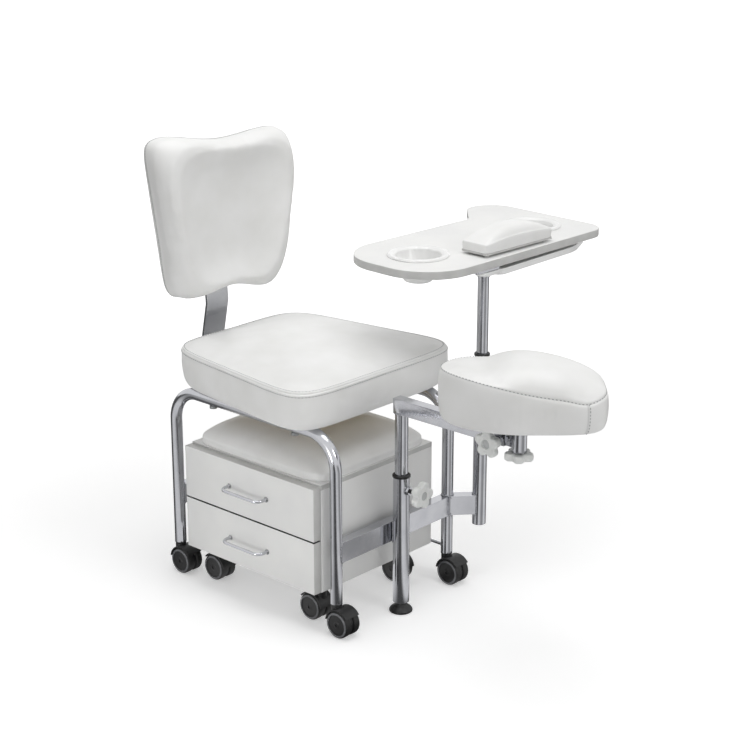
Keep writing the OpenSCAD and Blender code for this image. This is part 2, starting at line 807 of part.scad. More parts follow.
// Sliding post with the rectangular arm welded to its top
module footrest_post() {
    place() color(chrome) difference() {
        union() {
            translate([socket_x, socket_y, post_low_z]) cylinder(r = post_r, h = arm_low_z - post_low_z + 1);
            translate([socket_x - arm_w / 2, arm_front_y, arm_low_z]) cube([arm_w, arm_l + post_r, arm_h]);
            translate([socket_x, reach_knob_y, reach_knob_z]) along_near() translate([0, 0, arm_w / 2 - 1])
                hexagon_nut(knob_nut_r, knob_nut_h);
        }
        translate([socket_x, socket_y, post_low_z - 1])
            cylinder(r = post_r - post_wall, h = arm_low_z - post_low_z + 1);
        translate([socket_x - arm_w / 2 + post_wall, arm_front_y - 1, arm_low_z + post_wall])
            cube([arm_w - 2 * post_wall, arm_l + post_r + 1 - post_wall, arm_h - 2 * post_wall]);
        translate([socket_x, reach_knob_y, reach_knob_z]) along_near() knob_bore(2 * arm_w);
    }
}

// Telescoping bar with the upright pivot sleeve on its end
module footrest_slider() {
    sleeve_h = sleeve_top_z - sleeve_low_z;
    back_y = arm_front_y + slider_inside;
    place() color(chrome) difference() {
        union() {
            translate([socket_x - slider_w / 2, pivot_y, arm_mid_z - slider_h / 2])
                cube([slider_w, back_y - pivot_y, slider_h]);
            translate([socket_x, pivot_y, sleeve_low_z]) cylinder(d = sleeve_d, h = sleeve_h);
        }
        translate([
            socket_x - slider_w / 2 + post_wall, pivot_y + sleeve_d / 2, arm_mid_z - slider_h / 2 + post_wall
        ]) cube([slider_w - 2 * post_wall, back_y - pivot_y, slider_h - 2 * post_wall]);
        translate([socket_x, pivot_y, sleeve_low_z - 1])
            cylinder(r = spindle_d / 2 + running_fit, h = sleeve_h + 2);
    }
}

// Spindle that turns in the sleeve, with the plate that carries the cushion
module footrest_spindle() {
    plate_z = foot_pad_z - spindle_plate_t;
    place() color(steel) translate([socket_x, pivot_y, 0]) rotate(foot_pad_turn) difference() {
        union() {
            translate([0, 0, plate_z]) linear_extrude(spindle_plate_t) polygon(rounded([
                [-70, -45, 12], [70, -45, 12], [70, 45, 12], [-70, 45, 12]
            ]));
            translate([0, 0, sleeve_low_z]) cylinder(d = spindle_d, h = plate_z - sleeve_low_z + 1);
        }
        translate([0, 0, sleeve_low_z - 1]) knob_bore(25);
    }
}

// Heights of the foot cushion's seam and of its crown at a distance along its long axis
function foot_seam(a) = let (u = a / 140) foot_band_h - 27.2 * u + 4.5 * pow(u, 2) + 13.3 * pow(u, 3);
function foot_crown(a) =
    let (u = a / 140, valley = foot_valley * exp(-pow((a + 82.6) / 53, 2)))
        max(2, foot_crown_h + 14.3 * u - 23.1 * pow(u, 2) - valley);

foot_rings = [
    // scale towards the middle, growth of the outline, share of the band and of the crown
    [1, -11, 0, 0], [1, -2, 0.1, 0], [1, 0.6, 0.26, 0], [1, 1.3, 0.5, 0], [1, 1, 0.72, 0],
    [1, 0.2, 0.88, 0], [1, -3, 1, 0], [0.99, -3.8, 1, 0.16], [0.93, -5, 1, 0.4],
    [0.82, -5, 1, 0.62], [0.66, -5, 1, 0.8], [0.46, -5, 1, 0.92], [0.23, -5, 1, 0.985]
];

// Point of a ring at angle t, with the end towards -X rounder than the other end
function foot_edge(t, ring) =
    let (
        corner = 1.8 + 1.3 * smooth(-0.15, 0.15, cos(t)),
        p = ring[0] * round_plan(t, foot_pad_l / 2 + ring[1], foot_pad_w / 2 + ring[1], corner),
        z = foot_pad_z + ring[2] * foot_seam(p.x) + ring[3] * foot_crown(p.x)
    ) [p.x, p.y, z];

module footrest_cushion() {
    place() color(vinyl) translate([socket_x, pivot_y, 0]) rotate(foot_pad_turn) translate([2.6, 0, 0])
        cushion(
            [for (ring = foot_rings) [for (k = [0 : 71]) foot_edge(k * 5, ring)]],
            [0, 0, foot_pad_z], [0, 0, foot_pad_z + foot_seam(0) + foot_crown(0)]
        );
}

module height_knob() {
    tip = post_r + 0.1;
    place() translate([socket_x, socket_y, height_knob_z]) along_front() translate([0, 0, tip])
        star_knob(socket_r + knob_grip_gap - tip + 8);
}

module reach_knob() {
    tip = slider_w / 2 + 0.1;
    place() translate([socket_x, reach_knob_y, reach_knob_z]) along_near() translate([0, 0, tip])
        star_knob(arm_w / 2 + knob_grip_gap - tip);
}

module pivot_knob() {
    place() translate([socket_x, pivot_y, sleeve_low_z + 18]) rotate([180, 0, 0]) star_knob(18.6);
}

// ---------- side table ----------

table_knob_z = table_socket_top_z - 31;

module table_socket() {
    place() color(chrome) translate([pole_x, pole_y, 0]) {
        difference() {
            translate([0, 0, table_socket_low_z])
                tube(table_socket_r, table_socket_wall, table_socket_top_z - table_socket_low_z);
            translate([0, 0, table_knob_z]) along_front() knob_bore(2 * table_socket_r);
        }
        difference() {
            translate([0, 0, table_knob_z]) along_front() translate([0, 0, table_socket_r - 2]) knob_nut();
            translate([0, 0, table_knob_z - 20]) cylinder(r = table_socket_r, h = 40);
        }
        color(black) translate([0, 0, table_socket_low_z - 3]) {
            cylinder(r = table_socket_r, h = 3);
            cylinder(r = table_socket_bore_r, h = 13);
        }
    }
}

module table_bush() {
    place() color(black) translate([pole_x, pole_y, 0]) bush(
        table_socket_top_z, table_socket_r + bush_collar_out, table_socket_bore_r - running_fit,
        pole_r + running_fit, table_bush_sleeve_h
    );
}

// Pole with the ring that carries the tray and the plate that carries the table top
module table_pole() {
    place() color(chrome) at_table() difference() {
        union() {
            translate([0, 0, pole_low_z]) cylinder(r = pole_r, h = table_z - pole_low_z - pole_plate_t + 1);
            translate([0, 0, tray_boss_z - tray_ring_h - 0.3]) cylinder(r = pole_r + 2, h = tray_ring_h);
            translate([0, 0, table_z - pole_plate_t]) linear_extrude(pole_plate_t) polygon(rounded([
                [-32, -13, 5], [32, -13, 5], [32, 75, 12], [-32, 75, 12]
            ]));
        }
        translate([0, 0, pole_low_z - 1])
            cylinder(r = pole_r - post_wall, h = table_z - pole_low_z - pole_plate_t);
    }
}

module table_top() {
    left = -table_over;
    right = table_l - table_over;
    low = -table_edge;
    high = table_w - table_edge;
    place() color(laminate) at_table() difference() {
        translate([0, 0, table_z]) linear_extrude(table_t) polygon(rounded([
            [left, low, 98], [right, low + table_skew, 42], [right, high + lobe_d, 58],
            [right - lobe_l, high + lobe_d, 34], [right - lobe_l - lobe_d, high, 26], [left, high, 98]
        ]));
        for (u = [cup_u_near, cup_u_far]) translate([u, table_mid_v, table_z - 1])
            cylinder(r = cup_hole_r, h = table_t + 2);
    }
}

// Flanged dish that drops into the table top
module cup(u) {
    top = table_top_z;
    low = top - cup_depth;
    rim = cup_rim_d / 2;
    mouth = cup_d / 2;
    floor_r = cup_floor_d / 2;
    place() color(nylon) at_table() translate([u, table_mid_v, 0]) rotate_extrude() polygon([
        [0, low], [floor_r - 4, low], [floor_r, low + 2],
        [mouth, top - 4], [mouth, top + 0.1], [rim, top + 0.1], [rim, top + 2],
        [rim - 2, top + cup_rim_h - 1], [rim - 6, top + cup_rim_h], [mouth + 3, top + cup_rim_h - 1.5],
        [mouth - 1, top + 1], [mouth - cup_wall, top - 3],
        [floor_r - cup_wall, low + 3 + cup_wall], [floor_r - 5, low + cup_wall], [0, low + cup_wall]
    ]);
}

module cup_near() cup(cup_u_near);
module cup_far() cup(cup_u_far);

module wrist_rest_board() {
    z = table_top_z + wrist_foot_h;
    place() color(black) at_table() translate([wrist_mid_u, wrist_mid_v, 0]) {
        translate([-wrist_l / 2 + 2, -wrist_w / 2 + 2, z]) cube([wrist_l - 4, wrist_w - 4, wrist_board_t]);
        for (a = [-1, 1], b = [-1, 1])
            translate([a * (wrist_l / 2 - 14), b * (wrist_w / 2 - 12), table_top_z])
                cylinder(d = 10, h = wrist_foot_h);
    }
}

wrist_rings = [
    // scale towards the middle, growth of the outline, share of the end height and of the arch
    [1, -1.5, 0, 0], [1, 0, 0.2, 0], [1, 0, 0.85, 0.1], [1, -1, 1, 0.15], [0.96, -1, 1.12, 0.45],
    [0.86, -1, 1.25, 0.75], [0.68, -1, 1.35, 0.9], [0.45, -1, 1.42, 0.98], [0.22, -1, 1.45, 1]
];

module wrist_rest_cushion() {
    low = table_top_z + wrist_foot_h + wrist_board_t;
    tall = wrist_end_h - wrist_board_t;
    height = function (x, ring) low + ring[2] * tall + ring[3] * wrist_arch * (1 - pow(2 * x / wrist_l, 2));
    place() color(vinyl) at_table() translate([wrist_mid_u, wrist_mid_v, 0]) cushion(
        [for (ring = wrist_rings) [
            for (k = [0 : 39])
                let (p = ring[0] * round_plan(k * 9, wrist_l / 2 + ring[1], wrist_w / 2 + ring[1], 9))
                    [p.x, p.y, height(p.x, ring)]
        ]],
        [0, 0, low], [0, 0, height(0, [0, 0, 1.46, 1])]
    );
}

// Outline of the tray, moved in by wall, with its long slanting corner at the free end
function tray_edge(wall) =
    let (near = -table_edge, start = tray_boss_r + 11) rounded([
        [start + wall, near + 1 + wall, 14 - wall],
        [tray_l - 80 - 0.27 * wall, near + 14 + wall, 120 - wall],
        [tray_l - 11 - 0.79 * wall, near + 49 + 0.72 * wall, 30 - wall],
        [tray_l - 1.5 * wall, tray_far_v - wall, 11 - wall],
        [start + wall, tray_far_v - wall, 20 - wall]
    ]);

// Shallow tray that turns on the pole under the table's near edge
module accessory_tray() {
    place() color(nylon) at_table() difference() {
        union() {
            translate([0, 0, tray_low_z]) linear_extrude(tray_h) polygon(tray_edge(0));
            translate([0, 0, tray_boss_z]) linear_extrude(tray_top_z - tray_boss_z) {
                circle(tray_boss_r);
                translate([0, -tray_boss_r]) square([tray_boss_r + 12, 2 * tray_boss_r]);
            }
        }
        translate([0, 0, tray_low_z + tray_wall]) linear_extrude(tray_h) polygon(tray_edge(tray_wall));
        translate([0, 0, tray_low_z - 1]) cylinder(r = pole_r + running_fit, h = tray_h + 2);
    }
}

module table_knob() {
    tip = pole_r + 0.1;
    place() translate([pole_x, pole_y, table_knob_z]) along_front() translate([0, 0, tip])
        star_knob(table_socket_r + knob_grip_gap - tip);
}

// ---------- drawer cart ----------

module cart_case() {
    z = cabinet_top_z - top_panel_t;
    place() color(laminate) translate([cabinet_front_x, cabinet_y, 0]) difference() {
        translate([0, -cart_w / 2, cart_z]) cube([cart_d, cart_w, cart_h - top_panel_t]);
        translate([-1, -cart_w / 2 + panel_t, cart_z + panel_t])
            cube([cart_d - back_panel_t + 1, cart_w - 2 * panel_t, z - cart_z]);
    }
}

module cart_top() {
    place() color(laminate) translate([cabinet_front_x, cabinet_y - cart_w / 2, cabinet_top_z - top_panel_t])
        cube([cart_d, cart_w, top_panel_t]);
}

cart_rings = [
    // scale towards the middle, growth of the outline, share of the band and of the dome
    [1, -2, 0, 0], [1, -0.5, 0.3, 0], [1, -0.5, 0.75, 0], [0.99, -1, 1, 0.05], [0.95, -1, 1, 0.2],
    [0.86, -1, 1, 0.42], [0.72, -1, 1, 0.65], [0.54, -1, 1, 0.83], [0.34, -1, 1, 0.94], [0.15, -1, 1, 0.99]
];

module cart_cushion() {
    height = function (ring) cabinet_top_z + ring[2] * cart_band_h + ring[3] * cart_crown_h;
    place() color(vinyl) translate([cabinet_x, cabinet_y, 0]) cushion(
        [for (ring = cart_rings) [
            for (k = [0 : 55])
                let (p = ring[0] * round_plan(k * 360 / 56, cart_d / 2 + ring[1], cart_w / 2 + ring[1], 11))
                    [p.x, p.y, height(ring)]
        ]],
        [0, 0, cabinet_top_z], [0, 0, cabinet_top_z + cart_band_h + cart_crown_h]
    );
}

// Caster axis of the cart's corner a, b on the floor
function cart_corner(a, b) = [
    cabinet_x + a * (cart_d / 2 - caster_inset), cabinet_y + b * (cart_w / 2 - caster_inset), 0
];

// Puts its children at the cart's four caster axes, at the cabinet's lower face
module cart_caster_places() {
    for (a = [-1, 1], b = [-1, 1]) translate(cart_corner(a, b) + [0, 0, cart_z]) children();
}

module cart_caster_plates() {
    place() color(black) cart_caster_places() difference() {
        union() {
            translate([-caster_plate_w / 2, -caster_plate_w / 2, -plate_t])
                cube([caster_plate_w, caster_plate_w, plate_t]);
            translate([0, 0, -plate_t - plate_bush_h]) cylinder(r = fork_boss_r, h = plate_bush_h + 1);
        }
        translate([0, 0, -plate_t - plate_bush_h - 1])
            cylinder(r = stem_d / 2 + running_fit, h = plate_bush_h + 2);
    }
}

function drawer_low_z(upper) = cart_z + panel_t + (drawer_bay_h - drawer_h) / 2 + upper * drawer_bay_h;
function drawer_front_z(upper) = cart_z + 1 + upper * (drawer_front_h + front_gap);

module drawer_runners() {
    runner_t = runner_gap - 1;
    place() color(steel) for (upper = [0, 1], side = [-1, 1])
        translate([
            cabinet_front_x + 2, cabinet_y + side * (cart_w / 2 - panel_t - runner_t / 2) - runner_t / 2,
            drawer_low_z(upper) + 12
        ]) cube([drawer_length, runner_t, runner_h]);
}

module drawer_front(upper) {
    place() color(laminate)
        translate([cabinet_front_x - front_t - 0.4, cabinet_y - cart_w / 2, drawer_front_z(upper)])
            difference() {
                cube([front_t, cart_w, drawer_front_h]);
                for (side = [-1, 1])
                    translate([-1, cart_w / 2 + side * handle_pitch / 2, drawer_front_h / 2]) rotate([0, 90, 0])
                        cylinder(d = 4, h = 12);
            }
}

module drawer_front_upper() drawer_front(1);
module drawer_front_lower() drawer_front(0);

module drawer_box(upper) {
    place() color("wheat") translate([cabinet_front_x - 0.4, cabinet_y - drawer_w / 2, drawer_low_z(upper)])
        difference() {
            cube([drawer_length, drawer_w, drawer_h]);
            translate([drawer_wall, drawer_wall, drawer_floor])
                cube([drawer_length - 2 * drawer_wall, drawer_w - 2 * drawer_wall, drawer_h]);
        }
}

module drawer_box_upper() drawer_box(1);
module drawer_box_lower() drawer_box(0);

// Bow handle that stands out along -X, with round corners and a screw in each foot
module drawer_handle(upper) {
    r = handle_d / 2;
    half = handle_pitch / 2;
    straight = handle_out - r - handle_bend_r;
    x = cabinet_front_x - front_t - 0.4;
    place() color(chrome) translate([x, cabinet_y, drawer_front_z(upper) + drawer_front_h / 2]) {
        for (side = [0, 1]) mirror([0, side, 0]) {
            translate([0, half, 0]) along_near() cylinder(r = r, h = straight);
            translate([0, half, 0]) along_near() cylinder(r = r + 2, h = 2);
            translate([-straight, half - handle_bend_r, 0]) rotate(90)
                rotate_extrude(angle = 90) translate([handle_bend_r, 0]) circle(r);
            translate([0, half, 0]) rotate([0, 90, 0]) cylinder(d = 4, h = 10);
        }
        translate([-handle_out + r, -half + handle_bend_r, 0]) rotate([-90, 0, 0])
            cylinder(r = r, h = handle_pitch - 2 * handle_bend_r);
    }
}

module drawer_handle_upper() drawer_handle(1);
module drawer_handle_lower() drawer_handle(0);

// ---------- casters ----------

// Both wheels of a caster on their axle's line, which is parallel to X at z = wheel_r
module wheel_pair() {
    rim = 2;
    hub_r = wheel_r * 0.62;
    place() for (side = [0, 1]) children_at_wheel(side) rotate_extrude() polygon([
        [axle_d / 2 + running_fit, 0], [wheel_r - rim, 0], [wheel_r, rim], [wheel_r, wheel_w - rim],
        [wheel_r - rim, wheel_w], [hub_r + 2, wheel_w], [hub_r, wheel_w - 1.5],
        [axle_d / 2 + running_fit, wheel_w - 1.5]
    ]);
}

module children_at_wheel(side)
    mirror([side, 0, 0]) translate([wheel_gap / 2, 0, wheel_r]) rotate([0, 90, 0]) children();

// Web, hood, boss, stem and axle of a caster that trails towards dir along Y
module caster_fork(neck_z, stem_h, dir, offset) {
    hood_r = wheel_r + hood_gap;
    color(black) translate([0, dir * offset, wheel_r]) rotate([0, 90, 0]) {
        difference() {
            translate([0, 0, -fork_web_t / 2]) cylinder(r = wheel_r - 3, h = fork_web_t);
            translate([0, 0, -fork_web_t]) cylinder(d = axle_d, h = 2 * fork_web_t);
        }
        difference() {
            translate([0, 0, -caster_half_w + 2]) cylinder(r = hood_r + hood_wall, h = 2 * caster_half_w - 4);
            translate([0, 0, -caster_half_w]) cylinder(r = hood_r, h = 2 * caster_half_w);
            translate([-4, -2 * wheel_d, -caster_half_w - 1])
                cube([2 * wheel_d, 4 * wheel_d, 2 * caster_half_w + 2]);
            rotate(dir * 28) translate([-2 * wheel_d, dir > 0 ? 0 : -2 * wheel_d, -caster_half_w - 1])
                translate([2 * wheel_d - 4, 0, 0]) cube([2 * wheel_d, 2 * wheel_d, 2 * caster_half_w + 2]);
        }
        difference() {
            translate([-hood_r - 1, -6, -fork_web_t / 2]) cube([8, 12, fork_web_t]);
            translate([0, 0, -caster_half_w]) cylinder(r = wheel_r - 5, h = 2 * caster_half_w);
        }
    }
    color(black) difference() {
        translate([0, 0, wheel_r + 10]) cylinder(r = fork_boss_r, h = neck_z - wheel_r - 10);
        translate([0, dir * offset, wheel_r]) rotate([0, 90, 0])
            translate([0, 0, -caster_half_w]) cylinder(r = hood_r, h = 2 * caster_half_w);
    }
    color(steel) translate([0, 0, neck_z - 1]) cylinder(d = stem_d, h = stem_h + 1);
    color(steel) translate([-caster_half_w + 2, dir * offset, wheel_r]) rotate([0, 90, 0])
        cylinder(d = axle_d, h = 2 * caster_half_w - 4);
}

module chair_fork(x, y) {
    place() translate([x, y, 0]) caster_fork(leg_low_z - sleeve_rim_h - 0.2, sleeve_plug_h, -1, trail);
}

module chair_wheels(x, y) color(black) translate([x, y - trail, 0]) wheel_pair();

cart_trail = 13;
cart_neck_z = cart_z - plate_t - plate_bush_h - 0.2;

module cart_fork(a, b) {
    place() translate(cart_corner(a, b)) caster_fork(cart_neck_z, plate_bush_h - 1, 1, cart_trail);
}

module cart_wheels(a, b) color(black) translate(cart_corner(a, b) + [0, cart_trail, 0]) wheel_pair();

module caster_fork_near_front() chair_fork(-leg_x, -leg_y);
module caster_fork_near_back() chair_fork(-leg_x, leg_y);
module caster_fork_far_front() chair_fork(leg_x, -leg_y);
module caster_fork_far_back() chair_fork(leg_x, leg_y);
module caster_wheels_near_front() chair_wheels(-leg_x, -leg_y);
module caster_wheels_near_back() chair_wheels(-leg_x, leg_y);
module caster_wheels_far_front() chair_wheels(leg_x, -leg_y);
module caster_wheels_far_back() chair_wheels(leg_x, leg_y);
module cart_fork_near_front() cart_fork(-1, -1);
module cart_fork_near_back() cart_fork(-1, 1);
module cart_fork_far_front() cart_fork(1, -1);
module cart_fork_far_back() cart_fork(1, 1);
module cart_wheels_near_front() cart_wheels(-1, -1);
module cart_wheels_near_back() cart_wheels(-1, 1);
module cart_wheels_far_front() cart_wheels(1, -1);
module cart_wheels_far_back() cart_wheels(1, 1);

side_frame_near();
side_frame_far();
front_crossbar();
rear_crossbar();
far_stretcher();
table_socket();
footrest_socket();
caster_sleeves();
seat_board();
seat_cushion();
seat_bolts();
back_strut();
back_board();
back_cushion();
back_screws();
levelling_foot();
footrest_bush();
footrest_post();
footrest_slider();
footrest_spindle();
footrest_cushion();
height_knob();
reach_knob();
pivot_knob();
table_bush();
table_pole();
table_top();
cup_near();
cup_far();
wrist_rest_board();
wrist_rest_cushion();
accessory_tray();
table_knob();
cart_case();
cart_top();
cart_cushion();
cart_caster_plates();
drawer_runners();
drawer_front_upper();
drawer_box_upper();
drawer_handle_upper();
drawer_front_lower();
drawer_box_lower();
drawer_handle_lower();
caster_fork_near_front();
caster_wheels_near_front();
caster_fork_near_back();
caster_wheels_near_back();
caster_fork_far_front();
caster_wheels_far_front();
caster_fork_far_back();
caster_wheels_far_back();
cart_fork_near_front();
cart_wheels_near_front();
cart_fork_near_back();
cart_wheels_near_back();
cart_fork_far_front();
cart_wheels_far_front();
cart_fork_far_back();
cart_wheels_far_back();
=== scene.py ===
import json
import math

import bmesh
import bpy
from mathutils import Matrix, Vector
from mathutils.bvhtree import BVHTree


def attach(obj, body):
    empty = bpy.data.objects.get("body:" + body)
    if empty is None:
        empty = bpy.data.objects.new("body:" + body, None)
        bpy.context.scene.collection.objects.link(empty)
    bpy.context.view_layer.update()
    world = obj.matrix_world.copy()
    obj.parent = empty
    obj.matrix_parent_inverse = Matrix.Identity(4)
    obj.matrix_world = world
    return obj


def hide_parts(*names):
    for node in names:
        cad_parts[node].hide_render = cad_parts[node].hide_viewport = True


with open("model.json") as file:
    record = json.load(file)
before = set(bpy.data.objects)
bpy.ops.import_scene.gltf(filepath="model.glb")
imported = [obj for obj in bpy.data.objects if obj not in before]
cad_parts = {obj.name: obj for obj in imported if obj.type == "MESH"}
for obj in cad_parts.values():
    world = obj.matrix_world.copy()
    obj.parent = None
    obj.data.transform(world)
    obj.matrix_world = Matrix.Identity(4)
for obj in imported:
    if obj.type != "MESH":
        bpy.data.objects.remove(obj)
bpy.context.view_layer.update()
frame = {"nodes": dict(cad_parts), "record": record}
nodes = frame["nodes"]
scene = bpy.context.scene
print("frame loaded:", len(nodes), "nodes")

# Sizes are in millimetres from the middle of the chair's four legs, on the floor.
# The foot rest is at -Y, the table at +X. toRow carries them to the frame's own metres.
legMiddle = Vector((0.1736, -0.17863, 0.0))


def toRow(p):
    return Vector(p) / 1000 - legMiddle


def addObject(name, data):
    made = bpy.data.objects.new(name, data)
    scene.collection.objects.link(made)
    return made


# upright axes in plan, shared by the posts, their sockets, bushes, knobs and welds
postAxis = (-7, -230.5)
poleAxis = (195, -247)
padAxis = (-7, -492.5)
legAt = (151, 205.5)  # half the distance between the legs' axes, across and along


view = {
    "place": (-2268, -2224, 1457),
    "azimuth": -47.7,  # degrees from +Y, towards -X
    "elevation": 18.41,
    "lens": 87.07,  # mm on a 36 mm sensor
}

az = math.radians(view["azimuth"])
el = math.radians(view["elevation"])
aim = Vector((-math.sin(az) * math.cos(el), math.cos(az) * math.cos(el), -math.sin(el)))
cameraData = bpy.data.cameras.new("camera")
cameraData.lens = view["lens"]
cameraData.sensor_width = 36
cameraData.clip_end = 50
camera = addObject("camera", cameraData)
camera.location = toRow(view["place"])
camera.rotation_euler = aim.to_track_quat("-Z", "Y").to_euler()
scene.camera = camera
scene.view_settings.view_transform = "Standard"

studio = {
    "worldLevel": 0.43,  # soft light from all round
    "floorSize": 60.0,
    "floorColour": (0.86, 0.86, 0.86, 1),
    # the floor glows up to white from that many metres off
    "glow": {"From Min": 0.7, "From Max": 2.6, "To Min": 0.36, "To Max": 1.0},
    "lamps": [
        # name, place, target, width in m, watts, spread in degrees
        ("overhead", (150, -150, 2700), (150, -150, 0), 2.2, 29, 180),
        ("key", (0, -2750, 1900), (0, 0, 500), 1.0, 13.5, 180),
        ("fill", (-2600, -600, 900), (0, 0, 400), 1.0, 0.8, 180),
        ("low", (-2600, -250, 300), (-100, 0, 150), 1.0, 0.55, 22),  # narrow, so that it reaches the cart alone
    ],
    # what polished metal finds on the floor round the set: direction in degrees from +X, and how light it is
    "cards": [(-180, 0.55), (-168, 0.10), (-150, 0.10), (-140, 0.95), (-118, 0.80), (-105, 0.42), (-82, 0.38),
              (-70, 0.95), (-40, 0.85), (-28, 0.16), (-6, 0.12), (6, 0.75), (40, 0.40), (75, 0.55), (100, 0.12),
              (128, 0.10), (140, 0.90), (165, 0.85), (180, 0.55)],
}
def addNode(tree, kind, inputs=None, **settings):
    # adds a node with its settings, then its values and links
    made = tree.nodes.new(kind)
    for key, value in settings.items():
        setattr(made, key, value)
    for key, value in (inputs or {}).items():
        if isinstance(value, bpy.types.NodeSocket):
            tree.links.new(value, made.inputs[key])
        else:
            made.inputs[key].default_value = value
    return made


def hexColour(code):
    # sRGB hex to the linear colour that the shaders use
    parts = [int(code[k:k + 2], 16) / 255 for k in (1, 3, 5)]
    return tuple(c / 12.92 if c <= 0.04045 else ((c + 0.055) / 1.055) ** 2.4 for c in parts) + (1.0,)


def buildWorld():
    world = bpy.data.worlds.new("studio")
    world.use_nodes = True
    tree = world.node_tree
    tree.nodes.clear()
    rays = addNode(tree, "ShaderNodeLightPath")
    seen = addNode(tree, "ShaderNodeMath", {0: rays.outputs["Is Camera Ray"], 1: rays.outputs["Is Glossy Ray"]},
                   operation="MAXIMUM")
    through = addNode(tree, "ShaderNodeMath", {0: seen.outputs[0], 1: rays.outputs["Is Transmission Ray"]},
                      operation="MAXIMUM")
    soft = addNode(tree, "ShaderNodeBackground", {"Color": (1, 1, 1, 1), "Strength": studio["worldLevel"]})
    white = addNode(tree, "ShaderNodeBackground", {"Color": (1, 1, 1, 1), "Strength": 1.0})
    mix = addNode(tree, "ShaderNodeMixShader", {0: through.outputs[0], 1: soft.outputs[0], 2: white.outputs[0]})
    addNode(tree, "ShaderNodeOutputWorld", {"Surface": mix.outputs[0]})
    scene.world = world


def areaLight(name, place, target, size, watts, spread):
    data = bpy.data.lights.new(name, "AREA")
    data.shape = "DISK"
    data.size = size
    data.energy = watts
    data.spread = math.radians(spread)
    lamp = addObject(name, data)
    lamp.location = toRow(place)
    lamp.rotation_euler = (toRow(target) - toRow(place)).to_track_quat("-Z", "Y").to_euler()


def buildFloor():
    half = studio["floorSize"] / 2
    mesh = bpy.data.meshes.new("floor")
    corners = [(-half, -half, 0), (half, -half, 0), (half, half, 0), (-half, half, 0)]
    mesh.from_pydata(corners, [], [(0, 1, 2, 3)])
    floor = addObject("floor", mesh)
    material = bpy.data.materials.new("paleFloor")
    material.use_nodes = True
    tree = material.node_tree
    tree.nodes.clear()
    # what the camera sees is white, darkened only where the object shades it
    rays = addNode(tree, "ShaderNodeLightPath")
    place = addNode(tree, "ShaderNodeTexCoord").outputs["Object"]
    split = addNode(tree, "ShaderNodeSeparateXYZ", {0: place}).outputs
    distance = addNode(tree, "ShaderNodeVectorMath", {0: place}, operation="LENGTH").outputs["Value"]
    shade = addNode(tree, "ShaderNodeBsdfDiffuse", {"Color": studio["floorColour"]})
    level = addNode(tree, "ShaderNodeMapRange", {"Value": distance} | studio["glow"],
                    interpolation_type="SMOOTHSTEP").outputs["Result"]
    glow = addNode(tree, "ShaderNodeEmission", {"Color": (1, 1, 1, 1), "Strength": level})
    lit = addNode(tree, "ShaderNodeAddShader", {0: shade.outputs[0], 1: glow.outputs[0]})
    heading = addNode(tree, "ShaderNodeMath", {0: split["Y"], 1: split["X"]}, operation="ARCTAN2").outputs[0]
    around = addNode(tree, "ShaderNodeMapRange", {"Value": heading, "From Min": -math.pi, "From Max": math.pi}
                     ).outputs["Result"]
    ramp = addNode(tree, "ShaderNodeValToRGB", {"Fac": around})
    stops = ramp.color_ramp.elements
    while len(stops) > 1:
        stops.remove(stops[-1])
    for k, (degrees, grey) in enumerate(studio["cards"]):
        stop = stops[0] if k == 0 else stops.new((degrees + 180) / 360)
        stop.position = (degrees + 180) / 360
        stop.color = (grey, grey, grey, 1)
    mirror = addNode(tree, "ShaderNodeEmission", {"Color": ramp.outputs["Color"], "Strength": 1.0})
    seen = addNode(tree, "ShaderNodeMixShader",
                   {0: rays.outputs["Is Camera Ray"], 1: shade.outputs[0], 2: lit.outputs[0]})
    glossy = addNode(tree, "ShaderNodeMixShader",
                     {0: rays.outputs["Is Glossy Ray"], 1: seen.outputs[0], 2: mirror.outputs[0]})
    addNode(tree, "ShaderNodeOutputMaterial", {"Surface": glossy.outputs[0]})
    mesh.materials.append(material)


buildWorld()
for lamp in studio["lamps"]:
    areaLight(*lamp)
buildFloor()
print("camera, lights and floor ready")


def newMaterial(name):
    material = bpy.data.materials.new(name)
    material.use_nodes = True
    tree = material.node_tree
    tree.nodes.clear()
    shader = addNode(tree, "ShaderNodeBsdfPrincipled")
    addNode(tree, "ShaderNodeOutputMaterial", {"Surface": shader.outputs[0]})
    place = addNode(tree, "ShaderNodeTexCoord").outputs["Object"]
    return material, tree, shader, place


def noiseOf(tree, place, mm, detail=2.0, roughness=0.5):
    # noise whose spots are about that many millimetres wide
    return addNode(tree, "ShaderNodeTexNoise",
                   {"Vector": place, "Scale": 1000 / mm, "Detail": detail, "Roughness": roughness}).outputs["Fac"]


def spread(tree, value, low, high):
    return addNode(tree, "ShaderNodeMapRange", {"Value": value, "From Min": 0.3, "From Max": 0.7,
                                                "To Min": low, "To Max": high}).outputs["Result"]


def blendColours(tree, value, first, second):
    # value chooses between two colours, each a hex code or another node's colour
    made = addNode(tree, "ShaderNodeMix", {"Factor": value}, data_type="RGBA")
    for socket, colour in ((6, first), (7, second)):
        if isinstance(colour, str):
            made.inputs[socket].default_value = hexColour(colour)
        else:
            tree.links.new(colour, made.inputs[socket])
    return made.outputs[2]


def bump(tree, height, strength, mm, normal=None):
    inputs = {"Height": height, "Strength": strength, "Distance": mm / 1000}
    if normal is not None:
        inputs["Normal"] = normal
    return addNode(tree, "ShaderNodeBump", inputs).outputs["Normal"]


def link(tree, value, shader, socket):
    tree.links.new(value, shader.inputs[socket])


